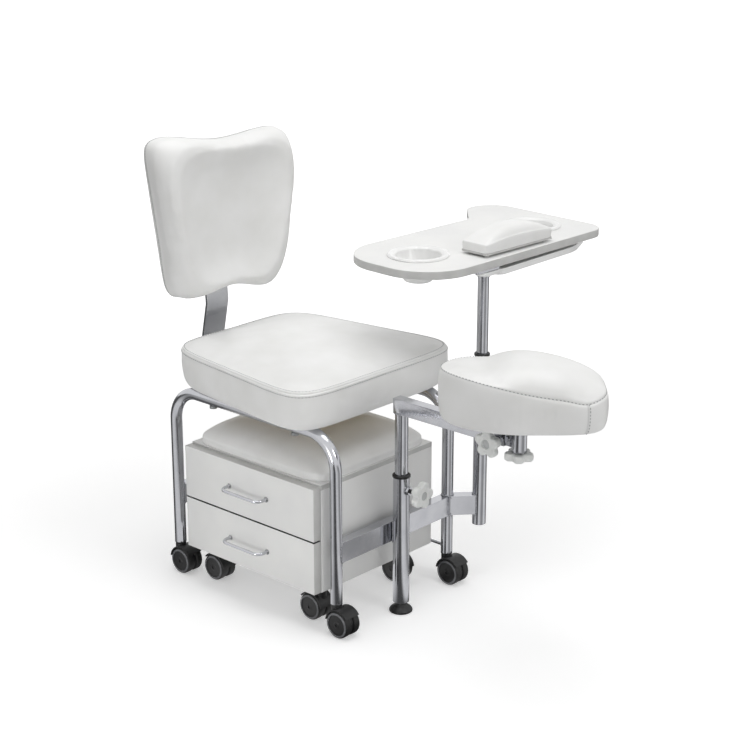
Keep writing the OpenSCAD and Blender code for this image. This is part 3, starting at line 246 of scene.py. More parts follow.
# PU-coated vinyl: an embossed leather grain of about a millimetre under a soft, even gloss
def whiteVinyl():
    material, tree, shader, place = newMaterial("puVinylWhite")
    skin = blendColours(tree, spread(tree, noiseOf(tree, place, 60), 0, 1), "#eeeeed", "#e8e8e6")
    # painted shade: the fold of a seam is darkened towards grey in the vinyl's colour, by the seam attribute that
    # the cushions carry
    seamShade = addNode(tree, "ShaderNodeAttribute", attribute_name="seam").outputs["Fac"]
    link(tree, blendColours(tree, seamShade, skin, "#858687"), shader, "Base Color")
    link(tree, spread(tree, noiseOf(tree, place, 25), 0.34, 0.44), shader, "Roughness")
    shader.inputs["IOR"].default_value = 1.5
    shader.inputs["Coat Weight"].default_value = 0.12
    shader.inputs["Coat Roughness"].default_value = 0.25
    # drawn a little coarser than real so that it shows
    grain = addNode(tree, "ShaderNodeTexVoronoi", {"Vector": place, "Scale": 1000 / 1.6},
                    feature="DISTANCE_TO_EDGE").outputs["Distance"]
    pull = bump(tree, noiseOf(tree, place, 45, 3.0), 0.10, 3.0)
    link(tree, bump(tree, grain, 0.16, 0.35, pull), shader, "Normal")
    return material


# birch plywood: pale yellow wood with long soft grain
def barePlywood():
    material, tree, shader, place = newMaterial("birchPlywood")
    stretched = addNode(tree, "ShaderNodeMapping", {"Vector": place, "Scale": (1.0, 0.08, 1.0)}).outputs["Vector"]
    grain = noiseOf(tree, stretched, 5, 4.0, 0.6)
    link(tree, blendColours(tree, spread(tree, grain, 0, 1), "#d9ccb2", "#c7b697"), shader, "Base Color")
    link(tree, spread(tree, grain, 0.55, 0.7), shader, "Roughness")
    link(tree, bump(tree, grain, 0.1, 0.3), shader, "Normal")
    return material


def plainFinish(name, colours, rough, relief=None, **values):
    # Each of the three is led by the width of its noise in mm. Then come two shades, two roughnesses,
    # or a bump's strength and its depth in mm; a last number is the noise's detail.
    material, tree, shader, place = newMaterial(name)
    width, first, second, *detail = colours
    shade = spread(tree, noiseOf(tree, place, width, *detail), 0, 1)
    link(tree, blendColours(tree, shade, first, second), shader, "Base Color")
    width, low, high, *detail = rough
    link(tree, spread(tree, noiseOf(tree, place, width, *detail), low, high), shader, "Roughness")
    if relief:
        width, strength, depth, *detail = relief
        link(tree, bump(tree, noiseOf(tree, place, width, *detail), strength, depth), shader, "Normal")
    for socket, value in values.items():
        shader.inputs[socket].default_value = value
    return material


metal = {"Metallic": 1.0}
mats = {
    "vinyl": whiteVinyl(),
    "plywood": barePlywood(),
    # polyester thread, coloured grey: painted shade of stitches pulled down into the vinyl, so that they read as a
    # row of soft grey dashes
    "thread": plainFinish("polyesterThreadShadeGrey", (3, "#acadad", "#a3a4a5"), (3, 0.7, 0.7)),
    # bright nickel-chrome plate on drawn steel tube: mirror-like, with faint draw marks
    "chrome": plainFinish("nickelChromePlate", (35, "#c6c7cb", "#bcbdc2"), (8, 0.10, 0.19, 3.0), (14, 0.05, 0.4),
                          **metal),
    # zinc-plated steel: greyer and duller than chrome
    "zinc": plainFinish("zincPlatedSteel", (4, "#a9aaa8", "#94969a"), (3, 0.28, 0.42), **metal),
    # satin nickel over die-cast zinc: darker and softer than the tubes' chrome
    "nickel": plainFinish("satinNickelPlate", (12, "#a6a6a8", "#8f9092"), (5, 0.10, 0.18), **metal),
    # fused weld bead under chrome: the same plate over a rippled bead
    "weld": plainFinish("platedWeldBead", (2, "#9c9da1", "#9c9da1"), (2, 0.22, 0.4), **metal),
    # melamine-faced chipboard: hard white paper laminate with a very fine orange peel
    "melamine": plainFinish("melamineBoardWhite", (90, "#ececea", "#e6e6e5"), (12, 0.36, 0.46),
                            (1.6, 0.08, 0.2, 3.0)),
    # ABS edge banding: slightly smoother than the board, and a shade greyer, which is partly painted shade on the
    # boards' narrow faces
    "edge": plainFinish("absEdgeBand", (30, "#cbcbc9", "#c1c1bf"), (30, 0.33, 0.33), (2.0, 0.05, 0.2)),
    # glass-filled nylon, moulded: near black with a faint sheen
    "nylon": plainFinish("mouldedNylonBlack", (9, "#171718", "#101011"), (5, 0.36, 0.5), (1.2, 0.1, 0.15)),
    # polyurethane tyre of a caster: matt black, scuffed a little lighter
    "tyre": plainFinish("polyurethaneTyreBlack", (6, "#131313", "#1b1b1b", 4.0), (3, 0.5, 0.68),
                        (1.5, 0.12, 0.2, 3.0)),
    # grey ABS hub ring
    "hub": plainFinish("absHubGrey", (7, "#6b6c6f", "#5c5d60"), (7, 0.18, 0.18)),
    # acetal plug in the middle of a knob: plain light grey
    "plug": plainFinish("acetalPlugGrey", (5, "#c3c5c5", "#b7b9b9"), (5, 0.35, 0.35)),
    # polypropylene dish: white, smooth and a little waxy
    "dish": plainFinish("polypropyleneWhite", (50, "#efefee", "#e9e9e8"), (50, 0.24, 0.24), (20, 0.04, 0.4),
                        **{"Subsurface Weight": 0.12, "Subsurface Radius": (0.004, 0.004, 0.004)}),
    # natural nylon knob: milky, light passes a little way in
    "knob": plainFinish("naturalNylonMilky", (12, "#eeefed", "#e2e4e2"), (12, 0.3, 0.3), (6, 0.06, 0.3),
                        **{"Subsurface Weight": 0.35, "Subsurface Radius": (0.006, 0.006, 0.006)}),
}
slotFinish = {
    "chrome": "chrome", "zinc_steel": "zinc", "upholstery": "vinyl", "plywood": "plywood", "laminate": "melamine",
    "black_plastic": "nylon", "white_plastic": "dish", "knob_plastic": "knob", "caster_plastic": "nylon",
    "caster_tread": "tyre", "covered_board": "vinyl",
}
slotOf = {part["node"]: part["material_slot"] for part in frame["record"]["subparts"]}
bodyOf = {node: body for body, held in frame["record"]["behaviour"]["bodies"].items() for node in held}
for name, obj in nodes.items():
    finish = mats[slotFinish[slotOf[name]]]
    for slot in obj.material_slots:
        slot.material = finish
print("materials ready")


def pick(table, *keys):
    return [table[key] for key in keys]


def turns(count):
    # the angles of that many even steps round
    return [2 * math.pi * k / count for k in range(count)]


def smooth(lo, hi, x):
    k = min(1.0, max(0.0, (x - lo) / (hi - lo)))
    return k * k * (3 - 2 * k)


def superPoint(t, a, b, n):
    # point at angle t on a rounded rectangle of half sizes a and b; a higher n has squarer corners
    c, s = math.cos(t), math.sin(t)
    reach = ((abs(c) / a) ** n + (abs(s) / b) ** n) ** (-1 / n)
    return reach * c, reach * s


def turned(p, degrees, centre=(0, 0)):
    c, s = math.cos(math.radians(degrees)), math.sin(math.radians(degrees))
    x, y = p[0], p[1]
    return (centre[0] + x * c - y * s, centre[1] + x * s + y * c) + tuple(p[2:])


def addPiece(name, mesh, finishes, sharp=None):
    # a smooth piece with these finishes; edges that turn by more than sharp degrees stay sharp
    for finish in finishes:
        mesh.materials.append(mats[finish])
    for face in mesh.polygons:
        face.use_smooth = True
    if sharp is not None:
        mesh.set_sharp_from_angle(angle=math.radians(sharp))
    return addObject(name, mesh)


def dropPiece(piece):
    old = piece.data
    bpy.data.objects.remove(piece)
    bpy.data.meshes.remove(old)


def meshNow(piece):
    # the piece's mesh with its modifiers worked out
    return bpy.data.meshes.new_from_object(piece.evaluated_get(bpy.context.evaluated_depsgraph_get()))


def loftFaces(rings, count, closed=False):
    # quads between following rings of the same count, and fans to the two end points unless it closes on itself
    faces = []
    ids = [[r * count + k for k in range(count)] for r in range(rings)]
    pairs = list(zip(ids, ids[1:])) + ([(ids[-1], ids[0])] if closed else [])
    for low, high in pairs:
        for k in range(count):
            n = (k + 1) % count
            faces.append((low[k], low[n], high[n], high[k]))
    if not closed:
        first, last = rings * count, rings * count + 1
        for k in range(count):
            n = (k + 1) % count
            faces.append((first, ids[0][n], ids[0][k]))
            faces.append((last, ids[-1][k], ids[-1][n]))
    return faces


def loft(name, rings, finish, low=None, high=None, sharp=None):
    closed = low is None
    points = [p for ring in rings for p in ring] + ([] if closed else [low, high])
    mesh = bpy.data.meshes.new(name)
    mesh.from_pydata([toRow(p) for p in points], [], loftFaces(len(rings), len(rings[0]), closed))
    return addPiece(name, mesh, [finish], sharp)


def faceOut(piece):
    made = bmesh.new()
    made.from_mesh(piece.data)
    bmesh.ops.recalc_face_normals(made, faces=made.faces)
    made.to_mesh(piece.data)
    made.free()
    return piece


def lathe(name, profile, centre, finish, axis="Z", around=72, sharp=40, closed=False):
    # profile holds (radius, height) from the lower pole, outside first; closed profiles have no pole
    def spot(r, h, g):
        a, b = r * math.cos(g), r * math.sin(g)
        x, y, z = (a, b, h) if axis == "Z" else (h, a, b)
        return (centre[0] + x, centre[1] + y, centre[2] + z)
    rings = [[spot(r, h, g) for g in turns(around)] for r, h in profile if r > 1e-6]
    poles = () if closed else (spot(0, profile[0][1], 0), spot(0, profile[-1][1], 0))
    return faceOut(loft(name, rings, finish, *poles, sharp=sharp))


def filleted(profile, r, steps=4):
    # rounds the corners of a polyline of (radius, height) points
    out = [profile[0]]
    for a, b, c in zip(profile, profile[1:], profile[2:]):
        va, vc = Vector(a) - Vector(b), Vector(c) - Vector(b)
        cut = min(r, va.length * 0.45, vc.length * 0.45)
        if cut < 0.05 or va.angle(vc, math.pi) > math.radians(172):
            out.append(b)
            continue
        p, q = Vector(b) + va.normalized() * cut, Vector(b) + vc.normalized() * cut
        for k in range(steps + 1):
            s = k / steps
            out.append(tuple(p * (1 - s) ** 2 + Vector(b) * 2 * s * (1 - s) + q * s * s))
    out.append(profile[-1])
    return out


def between(rows, steps, creases=()):
    # rows with smooth in-between rows; a crease row keeps its corner
    out = []
    last = len(rows) - 1
    for k in range(last):
        a, b = rows[k], rows[k + 1]
        before = rows[k - 1] if k > 0 and k not in creases else a
        after = rows[k + 2] if k + 2 <= last and k + 1 not in creases else b
        for s in range(steps):
            u = s / steps
            out.append(tuple(
                0.5 * (2 * p1 + (p2 - p0) * u + (2 * p0 - 5 * p1 + 4 * p2 - p3) * u * u
                       + (3 * p1 - p0 - 3 * p2 + p3) * u ** 3)
                for p0, p1, p2, p3 in zip(before, a, b, after)))
    out.append(rows[last])
    return out


def cornerArc(a, b, c, radius, steps):
    # points of the arc that rounds the corner b of the path a-b-c, in the plane or in space
    a, b, c = Vector(a), Vector(b), Vector(c)
    da, dc = (a - b).normalized(), (c - b).normalized()
    half = da.angle(dc) / 2
    centre = b + (da + dc).normalized() * radius / math.sin(half)
    first, last = (b + d * radius / math.tan(half) - centre for d in (da, dc))
    # slerp gives unit vectors
    return [centre + first.slerp(last, s / steps) * radius for s in range(steps + 1)]


def roundedOutline(corners):
    # corners are (x, y, radius)
    out = []
    for k, (x, y, r) in enumerate(corners):
        out += cornerArc(corners[k - 1][:2], (x, y), corners[(k + 1) % len(corners)][:2], r, 32)
    return out


def plate(name, outlines, z0, z1, edge, finish, side):
    # flat board with round edges, cut by the inner outlines; side is the finish of its upright edge
    curve = bpy.data.curves.new(name, "CURVE")
    curve.dimensions = "2D"
    curve.fill_mode = "BOTH"
    curve.extrude = ((z1 - z0) / 2 - edge) / 1000
    curve.bevel_depth = edge / 1000
    curve.bevel_resolution = 3
    curve.offset = -edge / 1000
    for outline in outlines:
        spline = curve.splines.new("POLY")
        spline.points.add(len(outline) - 1)
        spline.use_cyclic_u = True
        for k, p in enumerate(outline):
            spline.points[k].co = (p[0] / 1000, p[1] / 1000, 0, 1)
    shape = addObject(name + "Outline", curve)
    mesh = meshNow(shape)
    bpy.data.objects.remove(shape)
    mesh.name = name
    mesh.transform(Matrix.Translation(toRow((0, 0, (z0 + z1) / 2))))
    cleaned = bmesh.new()
    cleaned.from_mesh(mesh)
    bmesh.ops.remove_doubles(cleaned, verts=cleaned.verts, dist=1e-6)
    bmesh.ops.recalc_face_normals(cleaned, faces=cleaned.faces)
    cleaned.to_mesh(mesh)
    cleaned.free()
    mesh.materials.clear()
    for face in mesh.polygons:
        face.material_index = 1 if abs(face.normal.z) < 0.5 else 0
    return addPiece(name, mesh, [finish, side], 50)


def boards(name, corners, finish, side, edge):
    # several boards in one piece, from their low and high corners; all but their big faces take the side finish
    whole = bmesh.new()
    scratch = bpy.data.meshes.new("scratch")
    for low, high in corners:
        one = bmesh.new()
        bmesh.ops.create_cube(one, size=1.0)
        for v in one.verts:
            v.co = toRow([(a + b) / 2 + c * (b - a) for a, b, c in zip(low, high, v.co)])
        bmesh.ops.bevel(one, geom=list(one.edges), offset=edge / 1000, segments=2, profile=0.5, affect="EDGES")
        sizes = [b - a for a, b in zip(low, high)]
        thin = sizes.index(min(sizes))
        for face in one.faces:
            face.material_index = 0 if abs(face.normal[thin]) > 0.5 else 1
        one.to_mesh(scratch)
        one.free()
        whole.from_mesh(scratch)
    bpy.data.meshes.remove(scratch)
    mesh = bpy.data.meshes.new(name)
    whole.to_mesh(mesh)
    whole.free()
    return addPiece(name, mesh, [finish, side], 35)


def rodPath(points, bend):
    # polyline in space whose inner corners are rounded
    inner = zip(points, points[1:], points[2:])
    bends = [p for a, b, c in inner for p in cornerArc(a, b, c, bend, 12)]
    return [Vector(points[0])] + bends + [Vector(points[-1])]


def rod(name, path, r, finish):
    # round bar along a path, with closed ends
    last = len(path) - 1
    tangents = [(path[min(k + 1, last)] - path[max(k - 1, 0)]).normalized() for k in range(last + 1)]
    side = tangents[0].orthogonal().normalized()
    rings = []
    for p, t in zip(path, tangents):
        side = (side - t * side.dot(t)).normalized()
        up = t.cross(side)
        rings.append([tuple(p + r * (side * math.cos(g) + up * math.sin(g))) for g in turns(32)])
    return faceOut(loft(name, rings, finish, tuple(path[0]), tuple(path[-1]), sharp=40))


def applyAll(piece):
    mesh = meshNow(piece)
    piece.modifiers.clear()
    old = piece.data
    piece.data = mesh
    bpy.data.meshes.remove(old)
    mesh.name = piece.name


def joined(name, pieces):
    # merges pieces of one body into one mesh that keeps each one's finish
    finishes = []
    whole = bmesh.new()
    for piece in pieces:
        for material in piece.data.materials:
            if material not in finishes:
                finishes.append(material)
        for face in piece.data.polygons:
            face.material_index = finishes.index(piece.data.materials[face.material_index])
        whole.from_mesh(piece.data)
        dropPiece(piece)
    mesh = bpy.data.meshes.new(name)
    whole.to_mesh(mesh)
    whole.free()
    for material in finishes:
        mesh.materials.append(material)
    return addObject(name, mesh)


def mount(piece, body, slot, *replaced):
    # puts a finished piece on its body, and hides the CAD nodes that it stands for
    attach(piece, body)
    if replaced:
        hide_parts(*replaced)
    return piece


def standFor(node, piece):
    # mounts a piece that stands for one CAD node, on that node's body
    return mount(piece, bodyOf[node], slotOf[node], node)


def swell(piece, weights, cap, keep):
    # A coarse closed copy is blown up by the cloth solver. The fine skin then follows it by its
    # weights, so that the seams stay where they were sewn.
    coarse = addObject("coarse", piece.data.copy())
    remesh = coarse.modifiers.new("voxels", "REMESH")
    remesh.mode = "VOXEL"
    remesh.voxel_size = 0.005
    applyAll(coarse)
    coarse.data.materials.clear()
    before = [v.co.copy() for v in coarse.data.vertices]
    tree = BVHTree.FromPolygons(before, [tuple(f.vertices) for f in coarse.data.polygons])
    cloth = coarse.modifiers.new("cloth", "CLOTH")
    cloth.settings.use_pressure = True
    cloth.settings.uniform_pressure_force = 4.0
    cloth.settings.effector_weights.gravity = 0
    for frameNumber in range(1, 21):
        scene.frame_set(frameNumber)
    graph = bpy.context.evaluated_depsgraph_get()
    after = [v.co.copy() for v in coarse.evaluated_get(graph).data.vertices]
    scene.frame_set(1)
    moved = [b - a for a, b in zip(before, after)]
    faces = [tuple(f.vertices) for f in coarse.data.polygons]
    for v, weight in zip(piece.data.vertices, weights):
        if weight <= 0:
            continue
        spot, normal, face, far = tree.find_nearest(v.co)
        near = [(1 / ((before[k] - spot).length + 1e-5), moved[k]) for k in faces[face]]
        total = sum(w for w, m in near)
        shift = sum((m * (w / total) for w, m in near), Vector()) * weight * keep
        if shift.length > cap / 1000:
            shift = shift.normalized() * cap / 1000
        v.co += shift
    dropPiece(coarse)
    piece.data.update()


def cushionPiece(name, rows, spot, low, high, around, cap=4.0, keep=0.5):
    # spot(angle, row) gives a row's point, and a row's last number is how far it may swell
    rings = [[spot(t, row) for t in turns(around)] for row in rows]
    piece = faceOut(loft(name, rings, "vinyl", low, high))
    weights = [row[-1] for row in rows for k in range(around)] + [rows[0][-1], rows[-1][-1]]
    swell(piece, weights, cap, keep)
    return piece


def ringSpots(around, *rows):
    # a lofted cushion's vertices on those rings
    return [row * around + k for row in rows for k in range(around)]


def columnSpots(around, k, first, last):
    # its vertices up one side, from one ring to another
    return [row * around + k for row in range(first, last + 1)]


# paints shade into the vinyl: those vertices get that depth in the seam attribute, which darkens the fold to a grey
# line
def paintSeamShade(piece, spots, depth):
    held = [0.0] * len(piece.data.vertices)
    for k in spots:
        held[k] = depth
    piece.data.attributes.new("seam", "FLOAT", "POINT").data.foreach_set("value", held)


def skinPath(piece, spots, lift=0.25):
    # those vertices' places, lifted off the skin by some tenths of a millimetre
    skin = piece.data.vertices
    return [skin[k].co + skin[k].normal * lift / 1000 for k in spots]
def beadTree():
    # one bead after another along a curve: stitches, weld ripples, staples
    tree = bpy.data.node_groups.new("beadRow", "GeometryNodeTree")
    sockets = {"Geometry": "Geometry", "Pitch": "Float", "Length": "Float", "Width": "Float",
               "Unevenness": "Float", "Seed": "Int", "Finish": "Material"}
    for label, kind in sockets.items():
        tree.interface.new_socket(label, in_out="INPUT", socket_type="NodeSocket" + kind)
    tree.interface.new_socket("Geometry", in_out="OUTPUT", socket_type="NodeSocketGeometry")
    given = addNode(tree, "NodeGroupInput").outputs
    spots = addNode(tree, "GeometryNodeCurveToPoints", {"Curve": given["Geometry"], "Length": given["Pitch"]},
                    mode="LENGTH")
    turn = addNode(tree, "FunctionNodeAlignRotationToVector", {"Vector": spots.outputs["Tangent"]}, axis="X")
    bead = addNode(tree, "GeometryNodeMeshUVSphere", {"Segments": 8, "Rings": 5, "Radius": 0.5})
    low = addNode(tree, "ShaderNodeMath", {0: 1.0, 1: given["Unevenness"]}, operation="SUBTRACT")
    high = addNode(tree, "ShaderNodeMath", {0: 1.0, 1: given["Unevenness"]}, operation="ADD")
    wobble = addNode(tree, "FunctionNodeRandomValue",
                     {2: low.outputs[0], 3: high.outputs[0], "Seed": given["Seed"]}, data_type="FLOAT")
    long = addNode(tree, "ShaderNodeMath", {0: given["Length"], 1: wobble.outputs[1]}, operation="MULTIPLY")
    size = addNode(tree, "ShaderNodeCombineXYZ", {"X": long.outputs[0], "Y": given["Width"], "Z": given["Width"]})
    copies = addNode(tree, "GeometryNodeInstanceOnPoints",
                     {"Points": spots.outputs["Points"], "Instance": bead.outputs["Mesh"],
                      "Rotation": turn.outputs["Rotation"], "Scale": size.outputs[0]})
    real = addNode(tree, "GeometryNodeRealizeInstances", {"Geometry": copies.outputs["Instances"]})
    shaded = addNode(tree, "GeometryNodeSetShadeSmooth", {"Geometry": real.outputs["Geometry"]})
    finished = addNode(tree, "GeometryNodeSetMaterial",
                       {"Geometry": shaded.outputs["Geometry"], "Material": given["Finish"]})
    addNode(tree, "NodeGroupOutput", {"Geometry": finished.outputs["Geometry"]})
    return tree


beads = beadTree()


def beadRow(name, paths, sizes, finish, unevenness=0.15, seed=3, cyclic=True):
    # paths are lists of points in the frame's metres; sizes are the beads' pitch, length and width in mm
    curve = bpy.data.curves.new(name + "Path", "CURVE")
    curve.dimensions = "3D"
    for path in paths:
        spline = curve.splines.new("POLY")
        spline.points.add(len(path) - 1)
        spline.use_cyclic_u = cyclic
        for k, p in enumerate(path):
            spline.points[k].co = (p[0], p[1], p[2], 1)
    carrier = addObject(name + "Path", curve)
    row = carrier.modifiers.new("beadRow", "NODES")
    row.node_group = beads
    values = dict(zip(("Pitch", "Length", "Width"), (s / 1000 for s in sizes)))
    values |= {"Unevenness": unevenness, "Seed": seed, "Finish": mats[finish]}
    for item in beads.interface.items_tree:
        if item.in_out == "INPUT" and item.name in values:
            row[item.identifier] = values[item.name]
    mesh = meshNow(carrier)
    bpy.data.objects.remove(carrier)
    mesh.name = name
    return addObject(name, mesh)


# seams are the rings of the lower, side and upper seam; stitches run along the first and last
seatPad = {"width": 380, "depth": 393, "taper": 110, "middleY": 11, "corner": 6.6, "around": 336,
           "baseZ": 388, "seamZ": 449, "crown": 20, "swell": 3.0, "seams": (28, 34, 40)}
# pitch, length and width of a stitch
flatStitch = (6.2, 3.6, 1.5)
backStitch = (5.2, 3.5, 1.5)
footStitch = (6.4, 3.6, 1.7)
dartStitch = (5.4, 3.5, 1.7)
def seatOutline(t, grow, shrink):
    x, y = superPoint(t, seatPad["width"] / 2 + grow, seatPad["depth"] / 2 + grow, seatPad["corner"])
    x, y = x * shrink, y * shrink
    return x * (1 - seatPad["taper"] * y / (seatPad["width"] * seatPad["depth"])), y + seatPad["middleY"]


def buildSeat():
    base, seam, around, seams = pick(seatPad, "baseZ", "seamZ", "around", "seams")
    # shrink, growth of the outline, height, freedom to swell
    rows = [(1, -28, base + 0.5, 0), (1, -28, 378.2, 0), (1, -27.2, 377.3, 0), (1, -22, 377.0, 0),
            (1, -15.5, 377.3, 0), (1, -11, 379, 0), (1, -7.6, 383, 0.05), (1, -4.2, 388.5, 0.3),
            (1, -1.8, 394, 0.6), (1, 0.2, 402, 0.9), (1, 1.4, 411, 1), (1, 1.9, 421, 1), (1, 1.8, 431, 0.9),
            (1, 1.3, 438.5, 0.6), (1, 0.6, 443.5, 0.25), (1, -0.1, 446.8, 0.05), (1, -1.5, 448.2, 0),
            (1, -2.5, 448.6, 0), (1, -2.2, 449.9, 0), (1, -3.2, 452.0, 0.1)]
    for s in (0.985, 0.972, 0.955, 0.93, 0.9, 0.86, 0.81, 0.75, 0.68, 0.6, 0.51, 0.42, 0.33, 0.24, 0.15, 0.07):
        rows.append((s, -2.6, seam + 2.2 + (seatPad["crown"] - 2.2) * (1 - s ** 2.2), smooth(1, 0.86, s)))

    def spot(t, row):
        return seatOutline(t, row[1], row[0]) + (row[2],)

    mid = (0, seatPad["middleY"])
    pad = cushionPiece("seatCushionPad", between(rows, 2, creases=(17,)), spot, mid + (base + 0.5,),
                       mid + (seam + seatPad["crown"],), around, cap=seatPad["swell"])
    paintSeamShade(pad, ringSpots(around, *seams), 0.2)
    paths = [skinPath(pad, ringSpots(around, row)) for row in (seams[2], seams[0])]
    mount(pad, "chair", "upholstery", "seat_cushion")
    mount(beadRow("seatStitches", paths, flatStitch, "thread"), "chair", "upholstery")


backPad = {"halfWidth": 157, "flare": 22.4, "height": 289, "ear": 11.8, "heel": 15.2, "cornerRear": 10.2,
           "cornerFront": 4.0, "askew": 3.4, "thick": 60, "dish": 20, "middleZ": 672.5, "strutY": 246,
           "creaseZ": 494, "lean": 4, "board": 10, "around": 336, "swell": 3.0, "seam": 11}


def backOutline(t, grow, shrink, out=0.0):
    # the corners get rounder from the board towards the front
    front = 1.0 if shrink < 1 else smooth(0, backPad["thick"], out)
    corner = backPad["cornerRear"] + (backPad["cornerFront"] - backPad["cornerRear"]) * front
    px, py = superPoint(t, 1, 1, corner)
    wide = backPad["halfWidth"] + backPad["flare"] * py + grow
    tall = backPad["height"] / 2 + grow
    arch = smooth(0, 0.8, abs(px)) - 0.5
    rise = arch * (backPad["ear"] * smooth(0, 1, py) - backPad["heel"] * smooth(0, 1, -py))
    return turned((shrink * px * wide, shrink * (py * tall + rise)), -backPad["askew"])


def strutFront(z):
    return backPad["strutY"] + (z - backPad["creaseZ"]) * math.tan(math.radians(backPad["lean"]))


def backSpot(p, out):
    # out is the distance in front of the board
    z = backPad["middleZ"] + p[1]
    return (p[0], strutFront(z) - backPad["board"] - out, z)


def buildBack():
    thick, dish, around = pick(backPad, "thick", "dish", "around")
    # shrink, growth of the outline, distance from the board, freedom to swell
    rows = [(1, -22, 0.3, 0), (1, -12, 0.4, 0), (1, -5, 1.0, 0), (1, -2.6, 2.6, 0), (1, -2.8, 4.0, 0),
            (1, -1.2, 6, 0.1), (1, -0.3, 12, 0.5), (1, 0.7, 22, 0.9), (1, 1.7, thick * 0.5, 1),
            (1, 1.4, thick * 0.6, 1), (1, 0, thick * 0.75, 1), (1, -2.6, thick * 0.86, 1),
            (1, -6.2, thick * 0.95, 1), (1, -11, thick * 0.995, 1), (0.96, -12, thick * 1.0, 1)]
    for s, depth, free in ((0.91, 0.06, 1), (0.83, 0.26, 0.9), (0.68, 0.64, 0.7), (0.51, 0.88, 0.5),
                           (0.27, 1, 0.5), (0.1, 1, 0.5)):
        rows.append((s, -12, thick - dish * depth, free))

    def spot(t, row):
        return backSpot(backOutline(t, row[1], row[0], row[2]), row[2])

    pad = cushionPiece("backCushionPad", between(rows, 2, creases=(3, 4)), spot, backSpot((0, 0), 0.3),
                       backSpot((0, 0), thick - dish), around, cap=backPad["swell"])
    seam = ringSpots(around, backPad["seam"])
    paintSeamShade(pad, seam, 0.25)
    path = skinPath(pad, seam)
    mount(pad, "chair", "upholstery", "back_cushion")
    mount(beadRow("backStitches", [path], backStitch, "thread"), "chair", "upholstery")

    cover = [(1, -40, -9.6), (1, -26, -9.6), (1, -20, -9.3), (1, -16.5, -7.6), (1, -15, -4.5), (1, -15, -0.2),
             (1, -40, -0.2)]
    rings = [[backSpot(backOutline(t, grow, shrink), out) for t in turns(around)]
             for shrink, grow, out in between(cover, 3, creases=(1, 5))]
    panel = faceOut(loft("backCover", rings, "vinyl", backSpot((0, 0), -9.6), backSpot((0, 0), -0.2), sharp=50))
    mount(panel, "chair", "covered_board", "back_board")


# the seam's rings are two neighbours; the dart runs up the band's near side at that place along the pad
footPad = {"turn": -47.7, "shift": 2.6, "halfLong": 138, "halfWide": 92, "cornerLeft": 1.8, "cornerRight": 3.1,
           "cornerNear": 4.4, "dart": 98, "dip": 6, "baseZ": 436, "band": 72, "crown": 38, "valley": 24,
           "around": 336, "swell": 3.0, "seams": (20, 21), "dartRows": (6, 20)}
def footSeam(a, b=0.0):
    # the band is lowest where its upright dart meets the top seam, on the front side
    u = a / 140
    dip = footPad["dip"] * math.exp(-((a - footPad["dart"]) / 24) ** 2) * smooth(0, 40, -b)
    return footPad["band"] - 27.2 * u + 4.5 * u ** 2 + 13.3 * u ** 3 - dip


def footCrown(a):
    u = a / 140
    valley = footPad["valley"] * math.exp(-((a + 82.6) / 53) ** 2)
    return max(2, footPad["crown"] + 14.3 * u - 23.1 * u ** 2 - valley)


def footPlace(p):
    return turned((p[0] + footPad["shift"],) + tuple(p[1:]), footPad["turn"], padAxis)


def buildFoot():
    # shrink, growth of the outline, share of the band's height, share of the crown's, freedom to swell
    rows = [(1, -24, 0.012, 0, 0), (1, -18, 0, 0, 0), (1, -11, 0.003, 0, 0), (1, -6, 0.03, 0, 0.1),
            (1, -2, 0.1, 0, 0.4), (1, 0.6, 0.26, 0, 0.9), (1, 1.3, 0.5, 0, 1), (1, 1, 0.72, 0, 0.9),
            (1, 0.2, 0.88, 0, 0.5), (1, -0.9, 0.955, 0, 0.15), (1, -2.6, 0.99, 0, 0), (1, -3.5, 1.0, 0, 0),
            (1, -3.4, 1.0, 0.05, 0), (0.99, -3.8, 1, 0.16, 0.1), (0.96, -4.6, 1, 0.3, 0.5),
            (0.93, -5, 1, 0.4, 0.8), (0.82, -5, 1, 0.62, 1), (0.66, -5, 1, 0.8, 1), (0.46, -5, 1, 0.92, 1),
            (0.23, -5, 1, 0.985, 1), (0.08, -5, 1, 1, 1)]
    around, long, wide, base = pick(footPad, "around", "halfLong", "halfWide", "baseZ")

    def spot(t, row):
        left, right, near = pick(footPad, "cornerLeft", "cornerRight", "cornerNear")
        right += (near - right) * smooth(-0.1, 0.1, -math.sin(t))
        corner = left + (right - left) * smooth(-0.15, 0.15, math.cos(t))
        x, y = superPoint(t, long + row[1], wide + row[1], corner)
        x, y = x * row[0], y * row[0]
        return footPlace((x, y, base + row[2] * footSeam(x, y) + row[3] * footCrown(x)))

    pad = cushionPiece("footCushionPad", between(rows, 2, creases=(11,)), spot, footPlace((0, 0, base + 1)),
                       footPlace((0, 0, base + footSeam(0) + footCrown(0))), around, cap=footPad["swell"])
    steps = turns(around)
    dart = min(range(around // 2, around),
               key=lambda k: abs(superPoint(steps[k], long, wide, 4)[0] - footPad["dart"]))
    first, last = footPad["dartRows"]
    paintSeamShade(pad, ringSpots(around, *footPad["seams"]) + columnSpots(around, dart, first, last), 0.3)
    ring = skinPath(pad, ringSpots(around, footPad["seams"][1]), 0.4)
    mount(pad, "footrest_pad", "upholstery", "footrest_cushion")
    mount(beadRow("footStitches", [ring], footStitch, "thread"), "footrest_pad", "upholstery")
    upright = skinPath(pad, columnSpots(around, dart + 1, first + 1, last - 1))
    mount(beadRow("footDartStitches", [upright], dartStitch, "thread", cyclic=False), "footrest_pad", "upholstery")


buildSeat()
buildBack()
buildFoot()
print("seat, back and foot cushions ready")


